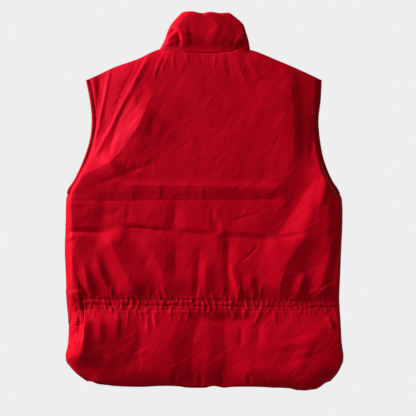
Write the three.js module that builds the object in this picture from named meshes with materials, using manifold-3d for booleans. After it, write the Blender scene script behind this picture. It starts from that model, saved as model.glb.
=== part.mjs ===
// Padded vest with a stand collar and an elastic waist casing, laid front down with its back up
// Millimetres: X runs across the back, Y from the hem to the collar, Z up from the surface it lies on
// The origin is the middle of its footprint, on that surface
// Left and right are the wearer's, and the wearer's left is at negative X

import * as THREE from "three";
import Module from "manifold-3d";

const wasm = await Module();
wasm.setup();

// Thickness of the layers
const PLANE = 17; // height of the plane where the fronts and the back lie on each other
const GAP = 0.3; // clearance of a piece from that plane, and between pieces sewn together
const EDGE = 3.5; // thickness of each padded layer at its sewn edge
const BACK_LOFT = 21; // padding and shell of the back, over the plane
const COLLAR_LOFT = 21;
const ROUND_BACK = 34; // how far in from its sides the back rounds off
const ROUND_FRONT = 70;
const ROUND_HEM = 70;
const ROUND_SHOULDER = 46;
const ROUND_COLLAR = 24;
const RIM = 7; // flat margin along an armhole, under its binding
const FOLD_REACH = 20; // the folds die out over this margin along every sewn edge

// Where the back is thinner or fuller than its loft: shares, and the reach of each change
const WAIST_DIP = 0.36;
const WAIST_DIP_REACH = 34;
const NECK_DIP = 0.16;
const NECK_DIP_REACH = 16;
const SHOULDER_THIN = 0.82;
const SHOULDER_THIN_FROM = 60;
const SHOULDER_THIN_RUN = 200;
const SKIRT_FULL = 1.1;
const SKIRT_FULL_BELOW = -240;
const SKIRT_FULL_RUN = 50;
const SHOULDER_RIM = 3; // the shoulder seam is this much into the rounding
const THINNEST = 2.2; // least thickness over the shared plane

// Beside an edge the padding rounds off over a narrow rim, and thickens evenly further in.
// Each share is the part of the full height that the rim takes
const RIM_SHARE = 0.125; // part of the reach that the rim takes
const RIM_BEND = 0.35; // how much the even part bends over towards its end
const LEFT_ARMHOLE = { reach: 88, rim: 0.26, rimAtUnderarm: 0.95, from: 40, run: 70 };
const RIGHT_ARMHOLE = { reach: 60, rim: 0.72 };
const RIGHT_SIDE_RIM = 0.84;
const LEFT_SIDE_TIGHT = 0.4; // over the waist the left side rounds off closer to its edge
const LEFT_TIGHT_FROM = -90;
const LEFT_TIGHT_RUN = 60;

// Sewn edges and trims
const BINDING_REACH = 2; // how far an armhole binding stands outside its panel
const BINDING = 1.4; // thickness of the folded binding
const PLACKET_WIDTH = 50;
const PLACKET = 3.4;
const PLACKET_TOP = 318;
const PLACKET_BOTTOM = -374;
const PLACKET_FLAT = 0.9; // part of its width that is flat
const PLACKET_CURL = 0.25; // part of its thickness by which its edges lift
const PLACKET_ROWS = [0, 0.18, 0.36, 0.54, 0.72, 0.88, 1];
const RECESS_HALF = 34; // half width of the flat stretch of the fronts over the placket
const RECESS_SLOPE = 11;
const CAP_RADIUS = 7.5;
const CAP_HEIGHT = 1.6;
const CAP_FACE = 0.75; // flat part of the cap's radius
const CAP_BEVEL = 0.45; // part of its height that the bevel takes
const CAP_COUNT = 7;
const CAP_FIRST = -346;
const CAP_PITCH = 108;
const WELT = 1.4;
const WELT_TOP = -181;
const WELT_BOTTOM = -251;
const WELT_WIDTH = 38; // width of the hidden welt at the right
const UNDERARM = 12; // height of the lowest point of the armholes
const UNDERARM_RUN = 20; // height over which the binding starts at the underarm
const SHOULDER_TIP = 247;
const HEM_CORNER = -370; // height where the round corners of the hem pass into it
const BACK_CORNER = 0.06; // part of the width over which the skirt's hem meets its corners
const FRONT_CORNER = 0.1; // the same on each front
const NECK_DROP = 58; // how far the front neckline lies below the back one
const NECK_SIDE = 94; // half the width of the neck at the shoulders

// Waist casing: two rows of stitching, a little lower at the right
const CASING = { topLeft: -199.5, topRight: -205.5, bottomLeft: -221.5, bottomRight: -226 };
const CASING_SINK = 1; // the elastic holds the casing this much below the cloth beside it
const GATHERS = 38; // waves of cloth along the elastic
const GATHER_RISE = 1.3;
const STEPS_A_GATHER = 4;
const GATHER_SLANT = 40; // height over which a wave shifts by one radian
const GATHER_UNEVEN = 0.25;

// Side edges from the hem corner to the shoulder tip
const EDGES = [
  { y: -370, left: -240, right: 259 },
  { y: -352, left: -263, right: 274 },
  { y: -325, left: -282, right: 285 },
  { y: -290, left: -278, right: 282 },
  { y: -245, left: -277, right: 279.5 },
  { y: -204, left: -281, right: 277 },
  { y: -150, left: -283, right: 279 },
  { y: -100, left: -285, right: 281 },
  { y: -40, left: -283, right: 283.5 },
  { y: 2, left: -282, right: 282 },
  { y: 22, left: -279, right: 275 },
  { y: 42, left: -266, right: 262 },
  { y: 83, left: -247, right: 245.5 },
  { y: 124, left: -234, right: 237.5 },
  { y: 165, left: -230, right: 234.5 },
  { y: 206, left: -234, right: 239 },
  { y: 247, left: -242, right: 241 },
];

// Lower edge of the hem
const HEM = [
  { x: -240, y: -370 },
  { x: -221, y: -376 },
  { x: -180, y: -380 },
  { x: -130, y: -381.5 },
  { x: -80, y: -379.5 },
  { x: -52, y: -380.5 },
  { x: -34, y: -383 },
  { x: 2, y: -383 },
  { x: 20, y: -379.5 },
  { x: 39, y: -383 },
  { x: 60, y: -381.5 },
  { x: 110, y: -381.5 },
  { x: 140, y: -383 },
  { x: 172, y: -384 },
  { x: 192, y: -388 },
  { x: 212, y: -388 },
  { x: 236, y: -383 },
  { x: 259, y: -370 },
];

// Shoulders and the back neck seam
const BACK_TOP = [
  { x: -242, y: 247 },
  { x: -221, y: 256 },
  { x: -184, y: 273 },
  { x: -135, y: 290 },
  { x: -94, y: 309 },
  { x: -70, y: 308.5 },
  { x: -35, y: 305.5 },
  { x: 0, y: 304 },
  { x: 35, y: 305.5 },
  { x: 70, y: 308.5 },
  { x: 94, y: 309 },
  { x: 148, y: 288 },
  { x: 197, y: 267 },
  { x: 221, y: 256 },
  { x: 241, y: 247 },
];

// Width of the stand collar as it rises from the neck seam
const COLLAR_EDGES = [
  { y: 309, left: -90, right: 94 },
  { y: 326, left: -81, right: 91 },
  { y: 343, left: -75, right: 86 },
  { y: 360, left: -66.5, right: 80 },
  { y: 374, left: -54.5, right: 65.5 },
  { y: 385, left: -44, right: 52 },
];
const COLLAR_TOP = [
  { x: -44, y: 384.5 },
  { x: -25, y: 385 },
  { x: -5, y: 381.5 },
  { x: 13, y: 384 },
  { x: 31, y: 382 },
  { x: 52, y: 383 },
];
const COLLAR_FOOT = COLLAR_EDGES[0].y;
const COLLAR_HEAD = COLLAR_EDGES[COLLAR_EDGES.length - 1].y;
const COLLAR_ROUND_TOP = 11; // how far down from its top edge the back of the collar rounds off
const COLLAR_RIM = 3; // how far its edges already are into the rounding
const COLLAR_SEAM_DIP = 0.34; // the padding is thinner over the neck seam
const COLLAR_SEAM_REACH = 20;
const FRONT_COLLAR_TOP = 352; // top of the collar's front where it meets its back
const FRONT_COLLAR_DIP = 26; // how much lower it is at the centre front

// Width of the front that comes round the left side and shows beside the back
const LEFT_WRAP = [
  { y: -370, width: 26 },
  { y: -330, width: 20 },
  { y: -250, width: 31 },
  { y: -190, width: 29 },
  { y: -110, width: 17 },
  { y: -20, width: 10 },
  { y: 8, width: 3 },
];

// Folds of the back. Each runs from one end to the other and bows sideways in the middle.
// It has its own width on the left and on the right of its run. It rises or sinks
const PRESSED_CREASES = [
  { x0: -226, y0: -1, x1: 170, y1: 2, bow: 0, left: 20, right: 75, rise: -3.6 },
  { x0: -182, y0: 31, x1: 176, y1: 24, bow: 2, left: 12, right: 21, rise: 2.2 },
  { x0: -176, y0: -50, x1: -52, y1: -63, bow: -1, left: 8, right: 40, rise: -2 },
  { x0: -64, y0: -64, x1: 32, y1: -71, bow: 0, left: 10, right: 50, rise: -3 },
  { x0: 24, y0: -71, x1: 150, y1: -78, bow: -1, left: 12, right: 50, rise: -3.8 },
  { x0: 138, y0: -76, x1: 212, y1: -62, bow: -3, left: 5, right: 8, rise: -1.8 },
  { x0: -290, y0: -68, x1: -196, y1: -71, bow: 9, left: 8, right: 12, rise: -2.2 },
  { x0: -294, y0: -88, x1: -260, y1: -70, bow: 0, left: 8, right: 6, rise: 2.4 },
  { x0: -228, y0: 78, x1: -108, y1: 304, bow: 0, left: 7, right: 12, rise: 1.9 },
];
const UPPER_FOLDS = [
  { x0: -226, y0: 140, x1: -214, y1: 264, bow: 0, left: 12, right: 12, rise: -2.6 },
  { x0: -205, y0: 60, x1: -104, y1: 224, bow: -13, left: 30, right: 50, rise: 5.6 },
  { x0: -276, y0: 36, x1: -170, y1: 88, bow: 0, left: 24, right: 44, rise: 4.2 },
  { x0: 200, y0: 70, x1: 190, y1: 270, bow: -4, left: 16, right: 12, rise: -1.8 },
  { x0: 202, y0: -92, x1: 268, y1: 70, bow: 9, left: 42, right: 76, rise: 9.6 },
  { x0: 138, y0: -90, x1: 232, y1: 50, bow: 3, left: 40, right: 40, rise: -4.2 },
  { x0: 140, y0: -204, x1: 216, y1: -66, bow: 12, left: 44, right: 46, rise: 5.6 },
  { x0: 178, y0: -206, x1: 238, y1: -60, bow: 2, left: 30, right: 34, rise: -2.2 },
  { x0: -192, y0: -84, x1: -214, y1: -10, bow: 0, left: 26, right: 30, rise: -2.6 },
  { x0: -134, y0: -206, x1: -198, y1: -60, bow: 0, left: 18, right: 44, rise: 3.4 },
  { x0: -66, y0: -210, x1: -128, y1: -66, bow: -8, left: 20, right: 40, rise: 2.6 },
  { x0: -58, y0: -166, x1: -60, y1: 4, bow: 0, left: 20, right: 22, rise: -2.4 },
  { x0: -15, y0: -206, x1: -8, y1: -84, bow: 0, left: 14, right: 18, rise: -2 },
  { x0: 5, y0: -208, x1: 1, y1: -118, bow: 0, left: 12, right: 16, rise: 2 },
  { x0: 55, y0: -140, x1: 50, y1: -74, bow: 0, left: 14, right: 18, rise: -2.2 },
  { x0: 73, y0: -208, x1: 54, y1: -112, bow: 1, left: 10, right: 15, rise: 2.2 },
  { x0: 100, y0: -208, x1: 92, y1: -120, bow: 2, left: 14, right: 20, rise: 2 },
  { x0: 202, y0: -208, x1: 214, y1: -124, bow: 2, left: 20, right: 18, rise: 2.2 },
  { x0: -229, y0: -204, x1: -250, y1: -118, bow: 0, left: 8, right: 10, rise: 2.6 },
  { x0: -246, y0: -204, x1: -274, y1: -136, bow: 0, left: 10, right: 9, rise: 2.4 },
  { x0: -186, y0: -208, x1: -221, y1: -94, bow: 2, left: 14, right: 16, rise: 2.8 },
  { x0: -224, y0: -182, x1: -245, y1: -124, bow: 0, left: 8, right: 8, rise: -1.8 },
  { x0: -178, y0: -194, x1: -214, y1: -96, bow: 3, left: 12, right: 14, rise: -2.2 },
];
const SKIRT_FOLDS = [
  { x0: -256, y0: -338, x1: -238, y1: -216, bow: 0, left: 30, right: 78, rise: 9.6 },
  { x0: -248, y0: -318, x1: -244, y1: -226, bow: 0, left: 10, right: 16, rise: 3.2 },
  { x0: -256, y0: -290, x1: -256, y1: -226, bow: 0, left: 9, right: 10, rise: -5 },
  { x0: -276, y0: -350, x1: -282, y1: -296, bow: 0, left: 9, right: 8, rise: 2.4 },
  { x0: -282, y0: -296, x1: -256, y1: -258, bow: 0, left: 5, right: 8, rise: -2.4 },
  { x0: -214, y0: -336, x1: -200, y1: -298, bow: 0, left: 30, right: 16, rise: -1.8 },
  { x0: -126, y0: -312, x1: -126, y1: -238, bow: 0, left: 12, right: 50, rise: -1.8 },
  { x0: -116, y0: -276, x1: -118, y1: -222, bow: 0, left: 5, right: 9, rise: 2.4 },
  { x0: -96, y0: -260, x1: -103, y1: -222, bow: 0, left: 5, right: 8, rise: 2 },
  { x0: -168, y0: -268, x1: -172, y1: -226, bow: 0, left: 7, right: 7, rise: -2 },
  { x0: -24, y0: -396, x1: -4, y1: -216, bow: 10, left: 42, right: 150, rise: -5.2 },
  { x0: 42, y0: -400, x1: 40, y1: -216, bow: -3, left: 20, right: 130, rise: -4 },
  { x0: 108, y0: -302, x1: 112, y1: -240, bow: 0, left: 16, right: 16, rise: -2.4 },
  { x0: 176, y0: -358, x1: 236, y1: -250, bow: 4, left: 26, right: 60, rise: 3.2 },
  { x0: 266, y0: -268, x1: 249, y1: -230, bow: 0, left: 8, right: 6, rise: 3 },
  { x0: -66, y0: -404, x1: -62, y1: -344, bow: 0, left: 6, right: 7, rise: -3.4 },
  { x0: -8, y0: -402, x1: -8, y1: -350, bow: 0, left: 6, right: 7, rise: -2.6 },
  { x0: 34, y0: -406, x1: 36, y1: -340, bow: 0, left: 7, right: 6, rise: -3.4 },
];
const BACK_FOLDS = [...PRESSED_CREASES, ...UPPER_FOLDS, ...SKIRT_FOLDS];

// Folds of the collar, on the same columns: a tuck at the left, a roll at the right
const COLLAR_FOLDS = [
  { x0: -43, y0: 310, x1: -57, y1: 360, bow: -6, left: 3.5, right: 10, rise: 3 },
  { x0: -36, y0: 314, x1: -48, y1: 364, bow: -13, left: 11, right: 14, rise: 2.8 },
  { x0: -76, y0: 338, x1: -52, y1: 346, bow: 0, left: 10, right: 4, rise: -8.5 },
  { x0: -80, y0: 325, x1: -54, y1: 339, bow: 0, left: 4, right: 6, rise: 3.4 },
  { x0: -50, y0: 309, x1: -57, y1: 344, bow: -4, left: 11, right: 3, rise: -2.8 },
  { x0: -84, y0: 313, x1: -62, y1: 320, bow: 2, left: 5, right: 4, rise: 2.2 },
  { x0: 57, y0: 308, x1: 94, y1: 316, bow: 15, left: 12, right: 6, rise: 6 },
  { x0: 32, y0: 304, x1: 68, y1: 350, bow: 2, left: 10, right: 14, rise: 2.2 },
];

// Each end of a fold fades out over this length, or over this share of a short fold's run
const FOLD_END = 30;
const SHORT_FOLD_END = 0.36;
const FOLD_SOFTNESS = 0.02; // how much the crest is rounded

// Rows of the grids, as heights, and columns as shares of the width
const BACK_ROWS = [
  WELT_TOP, -170, -158, -146, -134, -122, -110, -99, -90, -82, -75, -69, -63, -56, -48, -38, -28,
  -18, -8, -1, 6, 14, 23, 31, 40, 49, 58, 67, 77, 87, 98, 110, 122, 134, 146, 158, 170, 182, 194, 206,
  217, 227, 237,
];
const SKIRT_ROWS = [
  -364, -356, -346, -335, -323, -311, -299, -288, -278, -268, -259, WELT_BOTTOM, -243, -235, -228,
];
const FRONT_ROWS = [
  -362, -350, -334, -318, -300, -276, WELT_BOTTOM, -228, -204, WELT_TOP, -150, -110, -70, -30, 2,
  22, 42, 62, 84, 106, 136, 166, 196, 216, 236,
];
const WRAP_SHARES = [0, 0.15, 0.35, 0.6, 0.8, 1];
const SIDE_SHARES = [0, 0.01, 0.022, 0.038, 0.056];
const MIDDLE_COLUMNS = 42;
const COLLAR_COLUMNS = [
  0, 0.02, 0.05, 0.08, 0.11, 0.14, 0.17, 0.2, 0.23, 0.26, 0.3, 0.35, 0.41, 0.47, 0.53, 0.58, 0.63,
  0.68, 0.73, 0.78, 0.82, 0.86, 0.9, 0.94, 0.97, 1,
];
const COLLAR_ROWS = [
  0, 0.04, 0.09, 0.15, 0.21, 0.27, 0.33, 0.39, 0.45, 0.51, 0.58, 0.66, 0.75, 0.84, 0.9, 0.95, 1,
];
const FRONT_COLLAR_ROWS = [0, 0.12, 0.3, 0.5, 0.7, 0.86, 1];
const FRONT_SHARES = [
  0, 0.06, 0.118, 0.165, 0.23, 0.3, 0.38, 0.46, 0.55, 0.64, 0.73, 0.81, 0.875, 0.93, 0.97, 1,
];

// Smooth curve through a table's points, read off as one column against another
function tableCurve(rows, from, to) {
  const slope = (k) => {
    const before = rows[Math.max(k - 1, 0)];
    const after = rows[Math.min(k + 1, rows.length - 1)];
    return (after[to] - before[to]) / (after[from] - before[from]);
  };
  return (value) => {
    let k = 0;
    while (k < rows.length - 2 && value > rows[k + 1][from]) k += 1;
    const a = rows[k];
    const b = rows[k + 1];
    const span = b[from] - a[from];
    const t = THREE.MathUtils.clamp((value - a[from]) / span, 0, 1);
    const blend = t * t * (3 - 2 * t);
    const tangents = span * (t * (1 - t) * (1 - t) * slope(k) - t * t * (1 - t) * slope(k + 1));
    return a[to] + (b[to] - a[to]) * blend + tangents;
  };
}

const leftEdge = tableCurve(EDGES, "y", "left");
const rightEdge = tableCurve(EDGES, "y", "right");
const hemEdge = tableCurve(HEM, "x", "y");
const backTopEdge = tableCurve(BACK_TOP, "x", "y");
const collarLeft = tableCurve(COLLAR_EDGES, "y", "left");
const collarRight = tableCurve(COLLAR_EDGES, "y", "right");
const collarTopEdge = tableCurve(COLLAR_TOP, "x", "y");
const wrapWidth = tableCurve(LEFT_WRAP, "y", "width");

const mix = THREE.MathUtils.lerp;
const ease = (t) => THREE.MathUtils.smoothstep(t, 0, 1);

// Quarter round that climbs from 0 at the edge to 1
function dome(share) {
  const t = THREE.MathUtils.clamp(share, 0, 1);
  return Math.sqrt(1 - (1 - t) * (1 - t));
}

function hump(distance, width) {
  return Math.exp(-((distance / width) ** 2));
}

// Points along a curve, for measuring how far a place lies from it
function trace(point, from, to, steps) {
  return Array.from({ length: steps + 1 }, (_, k) => point(mix(from, to, k / steps)));
}

function distanceTo(line, x, y) {
  let best = Infinity;
  for (let k = 0; k < line.length - 1; k += 1) {
    const [ax, ay] = line[k];
    const [bx, by] = line[k + 1];
    const run = (bx - ax) ** 2 + (by - ay) ** 2;
    const t = THREE.MathUtils.clamp(((x - ax) * (bx - ax) + (y - ay) * (by - ay)) / run, 0, 1);
    best = Math.min(best, Math.hypot(x - mix(ax, bx, t), y - mix(ay, by, t)));
  }
  return best;
}

const HEM_RIGHT = HEM[HEM.length - 1].x;
const HEM_LEFT = HEM[0].x;
const TIP_RIGHT = BACK_TOP[BACK_TOP.length - 1].x;
const TIP_LEFT = BACK_TOP[0].x;
const leftPoint = (y) => [leftEdge(y), y];
const rightPoint = (y) => [rightEdge(y), y];
const topPoint = (x) => [x, backTopEdge(x)];
const LINES = {
  sideLeft: trace(leftPoint, HEM_CORNER, UNDERARM, 24),
  sideRight: trace(rightPoint, HEM_CORNER, UNDERARM, 24),
  hem: trace((x) => [x, hemEdge(x)], HEM_LEFT, HEM_RIGHT, 24),
  armholeLeft: trace(leftPoint, UNDERARM, SHOULDER_TIP, 16),
  armholeRight: trace(rightPoint, UNDERARM, SHOULDER_TIP, 16),
  shoulderLeft: trace(topPoint, TIP_LEFT, -NECK_SIDE, 8),
  shoulderRight: trace(topPoint, NECK_SIDE, TIP_RIGHT, 8),
  neck: trace(topPoint, -NECK_SIDE, NECK_SIDE, 10),
};

// Height that the folds of a table add at a place
function foldRelief(folds, x, y) {
  let height = 0;
  for (const fold of folds) {
    const run = Math.hypot(fold.x1 - fold.x0, fold.y1 - fold.y0);
    const ux = (fold.x1 - fold.x0) / run;
    const uy = (fold.y1 - fold.y0) / run;
    const t = ((x - fold.x0) * ux + (y - fold.y0) * uy) / run;
    if (t <= 0 || t >= 1) continue;
    const bow = fold.bow * 4 * t * (1 - t);
    const aside = (y - fold.y0) * ux - (x - fold.x0) * uy - bow;
    const slope = 1 - Math.abs(aside) / (aside > 0 ? fold.left : fold.right);
    const shape = (slope + Math.sqrt(slope * slope + FOLD_SOFTNESS)) / 2;
    const fade = Math.min(FOLD_END, SHORT_FOLD_END * run);
    height += fold.rise * shape * ease((Math.min(t, 1 - t) * run) / fade);
  }
  return height;
}

// Heights of the two rows of stitching at a place across the back
function casingRow(x, left, right) {
  const share = (x - leftEdge(left)) / (rightEdge(right) - leftEdge(left));
  return mix(left, right, share);
}

const casingTop = (x) => casingRow(x, CASING.topLeft, CASING.topRight);
const casingBottom = (x) => casingRow(x, CASING.bottomLeft, CASING.bottomRight);

// Padding that starts with a small round rim and then thickens evenly
function swell(share, rim) {
  const even = THREE.MathUtils.clamp(share, 0, 1);
  const thicker = even * (1 + RIM_BEND * (1 - even * even));
  return rim * dome(share / RIM_SHARE) + (1 - rim) * thicker;
}

// How full the padding is at a place, from 0 at a sewn edge to 1 well inside
function fullness(x, y, round) {
  const tight = ease((y - LEFT_TIGHT_FROM) / LEFT_TIGHT_RUN);
  const leftRound = round * mix(1, LEFT_SIDE_TIGHT, tight);
  const higher = ease((y - LEFT_ARMHOLE.from) / LEFT_ARMHOLE.run);
  const rim = mix(LEFT_ARMHOLE.rimAtUnderarm, LEFT_ARMHOLE.rim, higher);
  const leftArmhole = (distanceTo(LINES.armholeLeft, x, y) - RIM) / LEFT_ARMHOLE.reach;
  const rightArmhole = (distanceTo(LINES.armholeRight, x, y) - RIM) / RIGHT_ARMHOLE.reach;
  const shoulder = Math.min(
    distanceTo(LINES.shoulderLeft, x, y),
    distanceTo(LINES.shoulderRight, x, y),
  );
  return (
    dome(distanceTo(LINES.sideLeft, x, y) / leftRound) *
    swell(distanceTo(LINES.sideRight, x, y) / round, RIGHT_SIDE_RIM) *
    dome(distanceTo(LINES.hem, x, y) / ROUND_HEM) *
    swell(leftArmhole, rim) *
    swell(rightArmhole, RIGHT_ARMHOLE.rim) *
    dome((shoulder + SHOULDER_RIM) / ROUND_SHOULDER)
  );
}

// How far the folds may rise: they die out only along the edges
function foldShare(x, y) {
  const armhole = Math.min(
    distanceTo(LINES.armholeLeft, x, y),
    distanceTo(LINES.armholeRight, x, y),
  );
  const nearest = Math.min(
    distanceTo(LINES.sideLeft, x, y),
    distanceTo(LINES.sideRight, x, y),
    distanceTo(LINES.hem, x, y),
    distanceTo(LINES.shoulderLeft, x, y),
    distanceTo(LINES.shoulderRight, x, y),
    armhole - RIM / 2,
  );
  return dome(nearest / FOLD_REACH);
}

// Upper face of the padded back
function backTop(x, y) {
  const middle = (casingTop(x) + casingBottom(x)) / 2;
  const waist = 1 - WAIST_DIP * hump(y - middle, WAIST_DIP_REACH);
  const neck = 1 - NECK_DIP * hump(distanceTo(LINES.neck, x, y), NECK_DIP_REACH);
  const shoulders = mix(1, SHOULDER_THIN, ease((y - SHOULDER_THIN_FROM) / SHOULDER_THIN_RUN));
  const skirt = mix(1, SKIRT_FULL, ease((SKIRT_FULL_BELOW - y) / SKIRT_FULL_RUN));
  const loft = (BACK_LOFT - EDGE) * waist * neck * shoulders * skirt;
  const full = fullness(x, y, ROUND_BACK);
  const folds = foldShare(x, y) * foldRelief(BACK_FOLDS, x, y);
  return Math.max(PLANE + EDGE + full * loft + folds, PLANE + THINNEST);
}

// Height that the fronts are let in over the placket and its studs
function placketRecess(x) {
  const recess = CAP_HEIGHT + PLACKET + 3 * GAP;
  return recess * (1 - ease((Math.abs(x) - RECESS_HALF) / RECESS_SLOPE));
}

// Under face of the fronts, flat on the surface and let in where the placket lies
function frontUnder(x, y) {
  const lift = (PLANE - EDGE) * (1 - fullness(x, y, ROUND_FRONT));
  return Math.max(lift, placketRecess(x));
}

// Grid of places between four edges that meet at the corners
function patch(bottom, top, left, right, columns, rows) {
  return rows.map((v) =>
    columns.map((u) =>
      [0, 1].map((axis) => {
        const across = mix(left(v)[axis], right(v)[axis], u);
        const along = mix(bottom(u)[axis], top(u)[axis], v);
        const low = mix(bottom(0)[axis], bottom(1)[axis], u);
        const high = mix(top(0)[axis], top(1)[axis], u);
        return across + along - mix(low, high, v);
      }),
    ),
  );
}

// Closed solid between an under and an upper face over a grid of places
// The plain face, where one is named, is a plane and is closed with few triangles
function slab(grid, under, upper, plain) {
  const rows = grid.length;
  const columns = grid[0].length;
  const count = rows * columns;
  const points = [];
  for (const height of [under, upper]) {
    grid.forEach((row, r) => row.forEach(([x, y], c) => points.push(x, y, height(x, y, r, c))));
  }
  const at = (r, c) => r * columns + c;
  const faces = [];
  const sheet = (offset, flip) => {
    for (let r = 0; r < rows - 1; r += 1) {
      for (let c = 0; c < columns - 1; c += 1) {
        const [a, b] = [at(r, c) + offset, at(r, c + 1) + offset];
        const [d, e] = [at(r + 1, c) + offset, at(r + 1, c + 1) + offset];
        faces.push(...(flip ? [a, e, b, a, d, e] : [a, b, e, a, e, d]));
      }
    }
  };
  const rim = [];
  for (let c = 0; c < columns - 1; c += 1) rim.push(at(0, c));
  for (let r = 0; r < rows - 1; r += 1) rim.push(at(r, columns - 1));
  for (let c = columns - 1; c > 0; c -= 1) rim.push(at(rows - 1, c));
  for (let r = rows - 1; r > 0; r -= 1) rim.push(at(r, 0));
  const plate = (offset, flip) => {
    const outline = rim.map((k) => new THREE.Vector2(points[3 * k], points[3 * k + 1]));
    for (const [a, b, c] of THREE.ShapeUtils.triangulateShape(outline, [])) {
      const turned = flip ? [a, c, b] : [a, b, c];
      faces.push(...turned.map((k) => rim[k] + offset));
    }
  };
  (plain === "under" ? plate : sheet)(0, true);
  (plain === "upper" ? plate : sheet)(count, false);
  rim.forEach((a, k) => {
    const b = rim[(k + 1) % rim.length];
    faces.push(a, b, b + count, a, b + count, a + count);
  });
  return packed(points, faces);
}

// Mesh with only the points that its faces use
function packed(points, faces) {
  const kept = new Map();
  const used = [];
  const index = faces.map((k) => {
    if (!kept.has(k)) {
      kept.set(k, kept.size);
      used.push(...points.slice(3 * k, 3 * k + 3));
    }
    return kept.get(k);
  });
  const geometry = new THREE.BufferGeometry();
  geometry.setAttribute("position", new THREE.Float32BufferAttribute(used, 3));
  geometry.setIndex(index);
  return geometry;
}

function toSolid(geometry) {
  return new wasm.Manifold(
    new wasm.Mesh({
      numProp: 3,
      vertProperties: Float32Array.from(geometry.attributes.position.array),
      triVerts: Uint32Array.from(geometry.index.array),
    }),
  );
}

function joined(first, second) {
  const mesh = toSolid(first).add(toSolid(second)).getMesh();
  return packed(Array.from(mesh.vertProperties), Array.from(mesh.triVerts));
}

// Shares across the back, close together near the sides, where it rounds off
const BACK_SHARES = (() => {
  const from = SIDE_SHARES[SIDE_SHARES.length - 1];
  const inner = MIDDLE_COLUMNS - 1;
  const middle = Array.from({ length: inner }, (_, k) => mix(from, 1 - from, (k + 1) / MIDDLE_COLUMNS));
  return [...SIDE_SHARES, ...middle, ...SIDE_SHARES.map((share) => 1 - share).reverse()];
})();

const rowShares = (rows, from, to) => [0, ...rows.map((y) => (y - from) / (to - from)), 1];
const flatAt = (height) => () => height;
const BACK_UNDER = PLANE + GAP;
const FRONT_UPPER = PLANE - GAP;

// Left edge of the back: the seam beside the wrapped front, then the bound armhole
const WRAP_END = LEFT_WRAP[LEFT_WRAP.length - 1];
const backLeft = (y) => {
  return leftEdge(y) + Math.max(BINDING_REACH, y < WRAP_END.y ? wrapWidth(y) : WRAP_END.width);
};
const boundInset = (y) => BINDING_REACH * ease((y - UNDERARM + UNDERARM_RUN / 2) / UNDERARM_RUN);
const backRight = (y) => rightEdge(y) - boundInset(y);
const frontLeftEdge = (y) => leftEdge(y) + boundInset(y);

// Upper back, from the waist casing to the shoulders and the neck seam
const backGrid = (() => {
  const from = CASING.topLeft + GAP;
  const to = SHOULDER_TIP;
  const left = (v) => [backLeft(mix(from, to, v)), mix(from, to, v)];
  const right = (v) => {
    const y = mix(CASING.topRight + GAP, to, v);
    return [backRight(y), y];
  };
  const bottom = (u) => {
    const x = mix(left(0)[0], right(0)[0], u);
    return [x, casingTop(x) + GAP];
  };
  const top = (u) => {
    const x = mix(left(1)[0], right(1)[0], u);
    return [x, backTopEdge(x)];
  };
  return patch(bottom, top, left, right, BACK_SHARES, rowShares(BACK_ROWS, from, to));
})();

// Skirt of the back, from the hem to the waist casing
const skirtGrid = (() => {
  const from = HEM_CORNER;
  const to = CASING.bottomLeft - GAP;
  const left = (v) => [backLeft(mix(from, to, v)), mix(from, to, v)];
  const right = (v) => {
    const y = mix(from, CASING.bottomRight - GAP, v);
    return [backRight(y), y];
  };
  const bottom = (u) => {
    const x = mix(left(0)[0], right(0)[0], u);
    return [x, mix(from, hemEdge(x), ease(Math.min(u, 1 - u) / BACK_CORNER))];
  };
  const top = (u) => {
    const x = mix(left(1)[0], right(1)[0], u);
    return [x, casingBottom(x) - GAP];
  };
  return patch(bottom, top, left, right, BACK_SHARES, rowShares(SKIRT_ROWS, from, to));
})();

// Waist casing, gathered on its elastic in uneven waves
const casingGrid = (() => {
  const steps = GATHERS * STEPS_A_GATHER;
  const columns = Array.from({ length: steps + 1 }, (_, k) => k / steps);
  const edge = (row, turn) => (u) => {
    const x = mix(backLeft(turn.left), backRight(turn.right), u);
    return [x, row(x)];
  };
  const bottom = edge(casingBottom, { left: CASING.bottomLeft, right: CASING.bottomRight });
  const top = edge(casingTop, { left: CASING.topLeft, right: CASING.topRight });
  const side = (u) => (v) => [mix(bottom(u)[0], top(u)[0], v), mix(bottom(u)[1], top(u)[1], v)];
  return patch(bottom, top, side(0), side(1), columns, [0, 0.5, 1]);
})();

function casingUpper(x, y) {
  const share = (x - leftEdge(y)) / (rightEdge(y) - leftEdge(y));
  const turn = 2 * Math.PI * share;
  const slant = (y - casingBottom(x)) / GATHER_SLANT;
  const wave = Math.cos(GATHERS * turn + slant + 1.4 * Math.sin(3 * turn) + Math.sin(7 * turn));
  const uneven = 1 - GATHER_UNEVEN * (1 - Math.sin(5 * turn + 1));
  const rise = GATHER_RISE * uneven * fullness(x, y, ROUND_BACK) * wave;
  return backTop(x, y) - CASING_SINK + rise;
}

// One front as a grid, from the hem to the neckline and the shoulder
// The side is -1 for the left front and 1 for the right one
function frontGrid(side, edge) {
  const from = HEM_CORNER;
  const to = SHOULDER_TIP;
  const centre = side * GAP;
  const neckline = (x) => {
    const share = Math.min(Math.abs(x) / NECK_SIDE, 1);
    return backTopEdge(x) - NECK_DROP * Math.sqrt(1 - share * share);
  };
  const outer = (v) => [edge(mix(from, to, v)), mix(from, to, v)];
  const bottom = (u) => {
    const x = mix(centre, outer(0)[0], u);
    return [x, mix(hemEdge(x), from, ease((u - 1 + FRONT_CORNER) / FRONT_CORNER))];
  };
  const top = (u) => {
    const x = mix(centre, outer(1)[0], u);
    return [x, neckline(x) - GAP];
  };
  const inner = (v) => [centre, mix(bottom(0)[1], top(0)[1], v)];
  const rows = rowShares(FRONT_ROWS, from, to);
  const grid = patch(bottom, top, inner, outer, FRONT_SHARES, rows);
  return side < 0 ? grid.map((row) => [...row].reverse()) : grid;
}

const frontLeftGrid = frontGrid(-1, frontLeftEdge);
const frontRightGrid = frontGrid(1, backRight);

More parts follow.
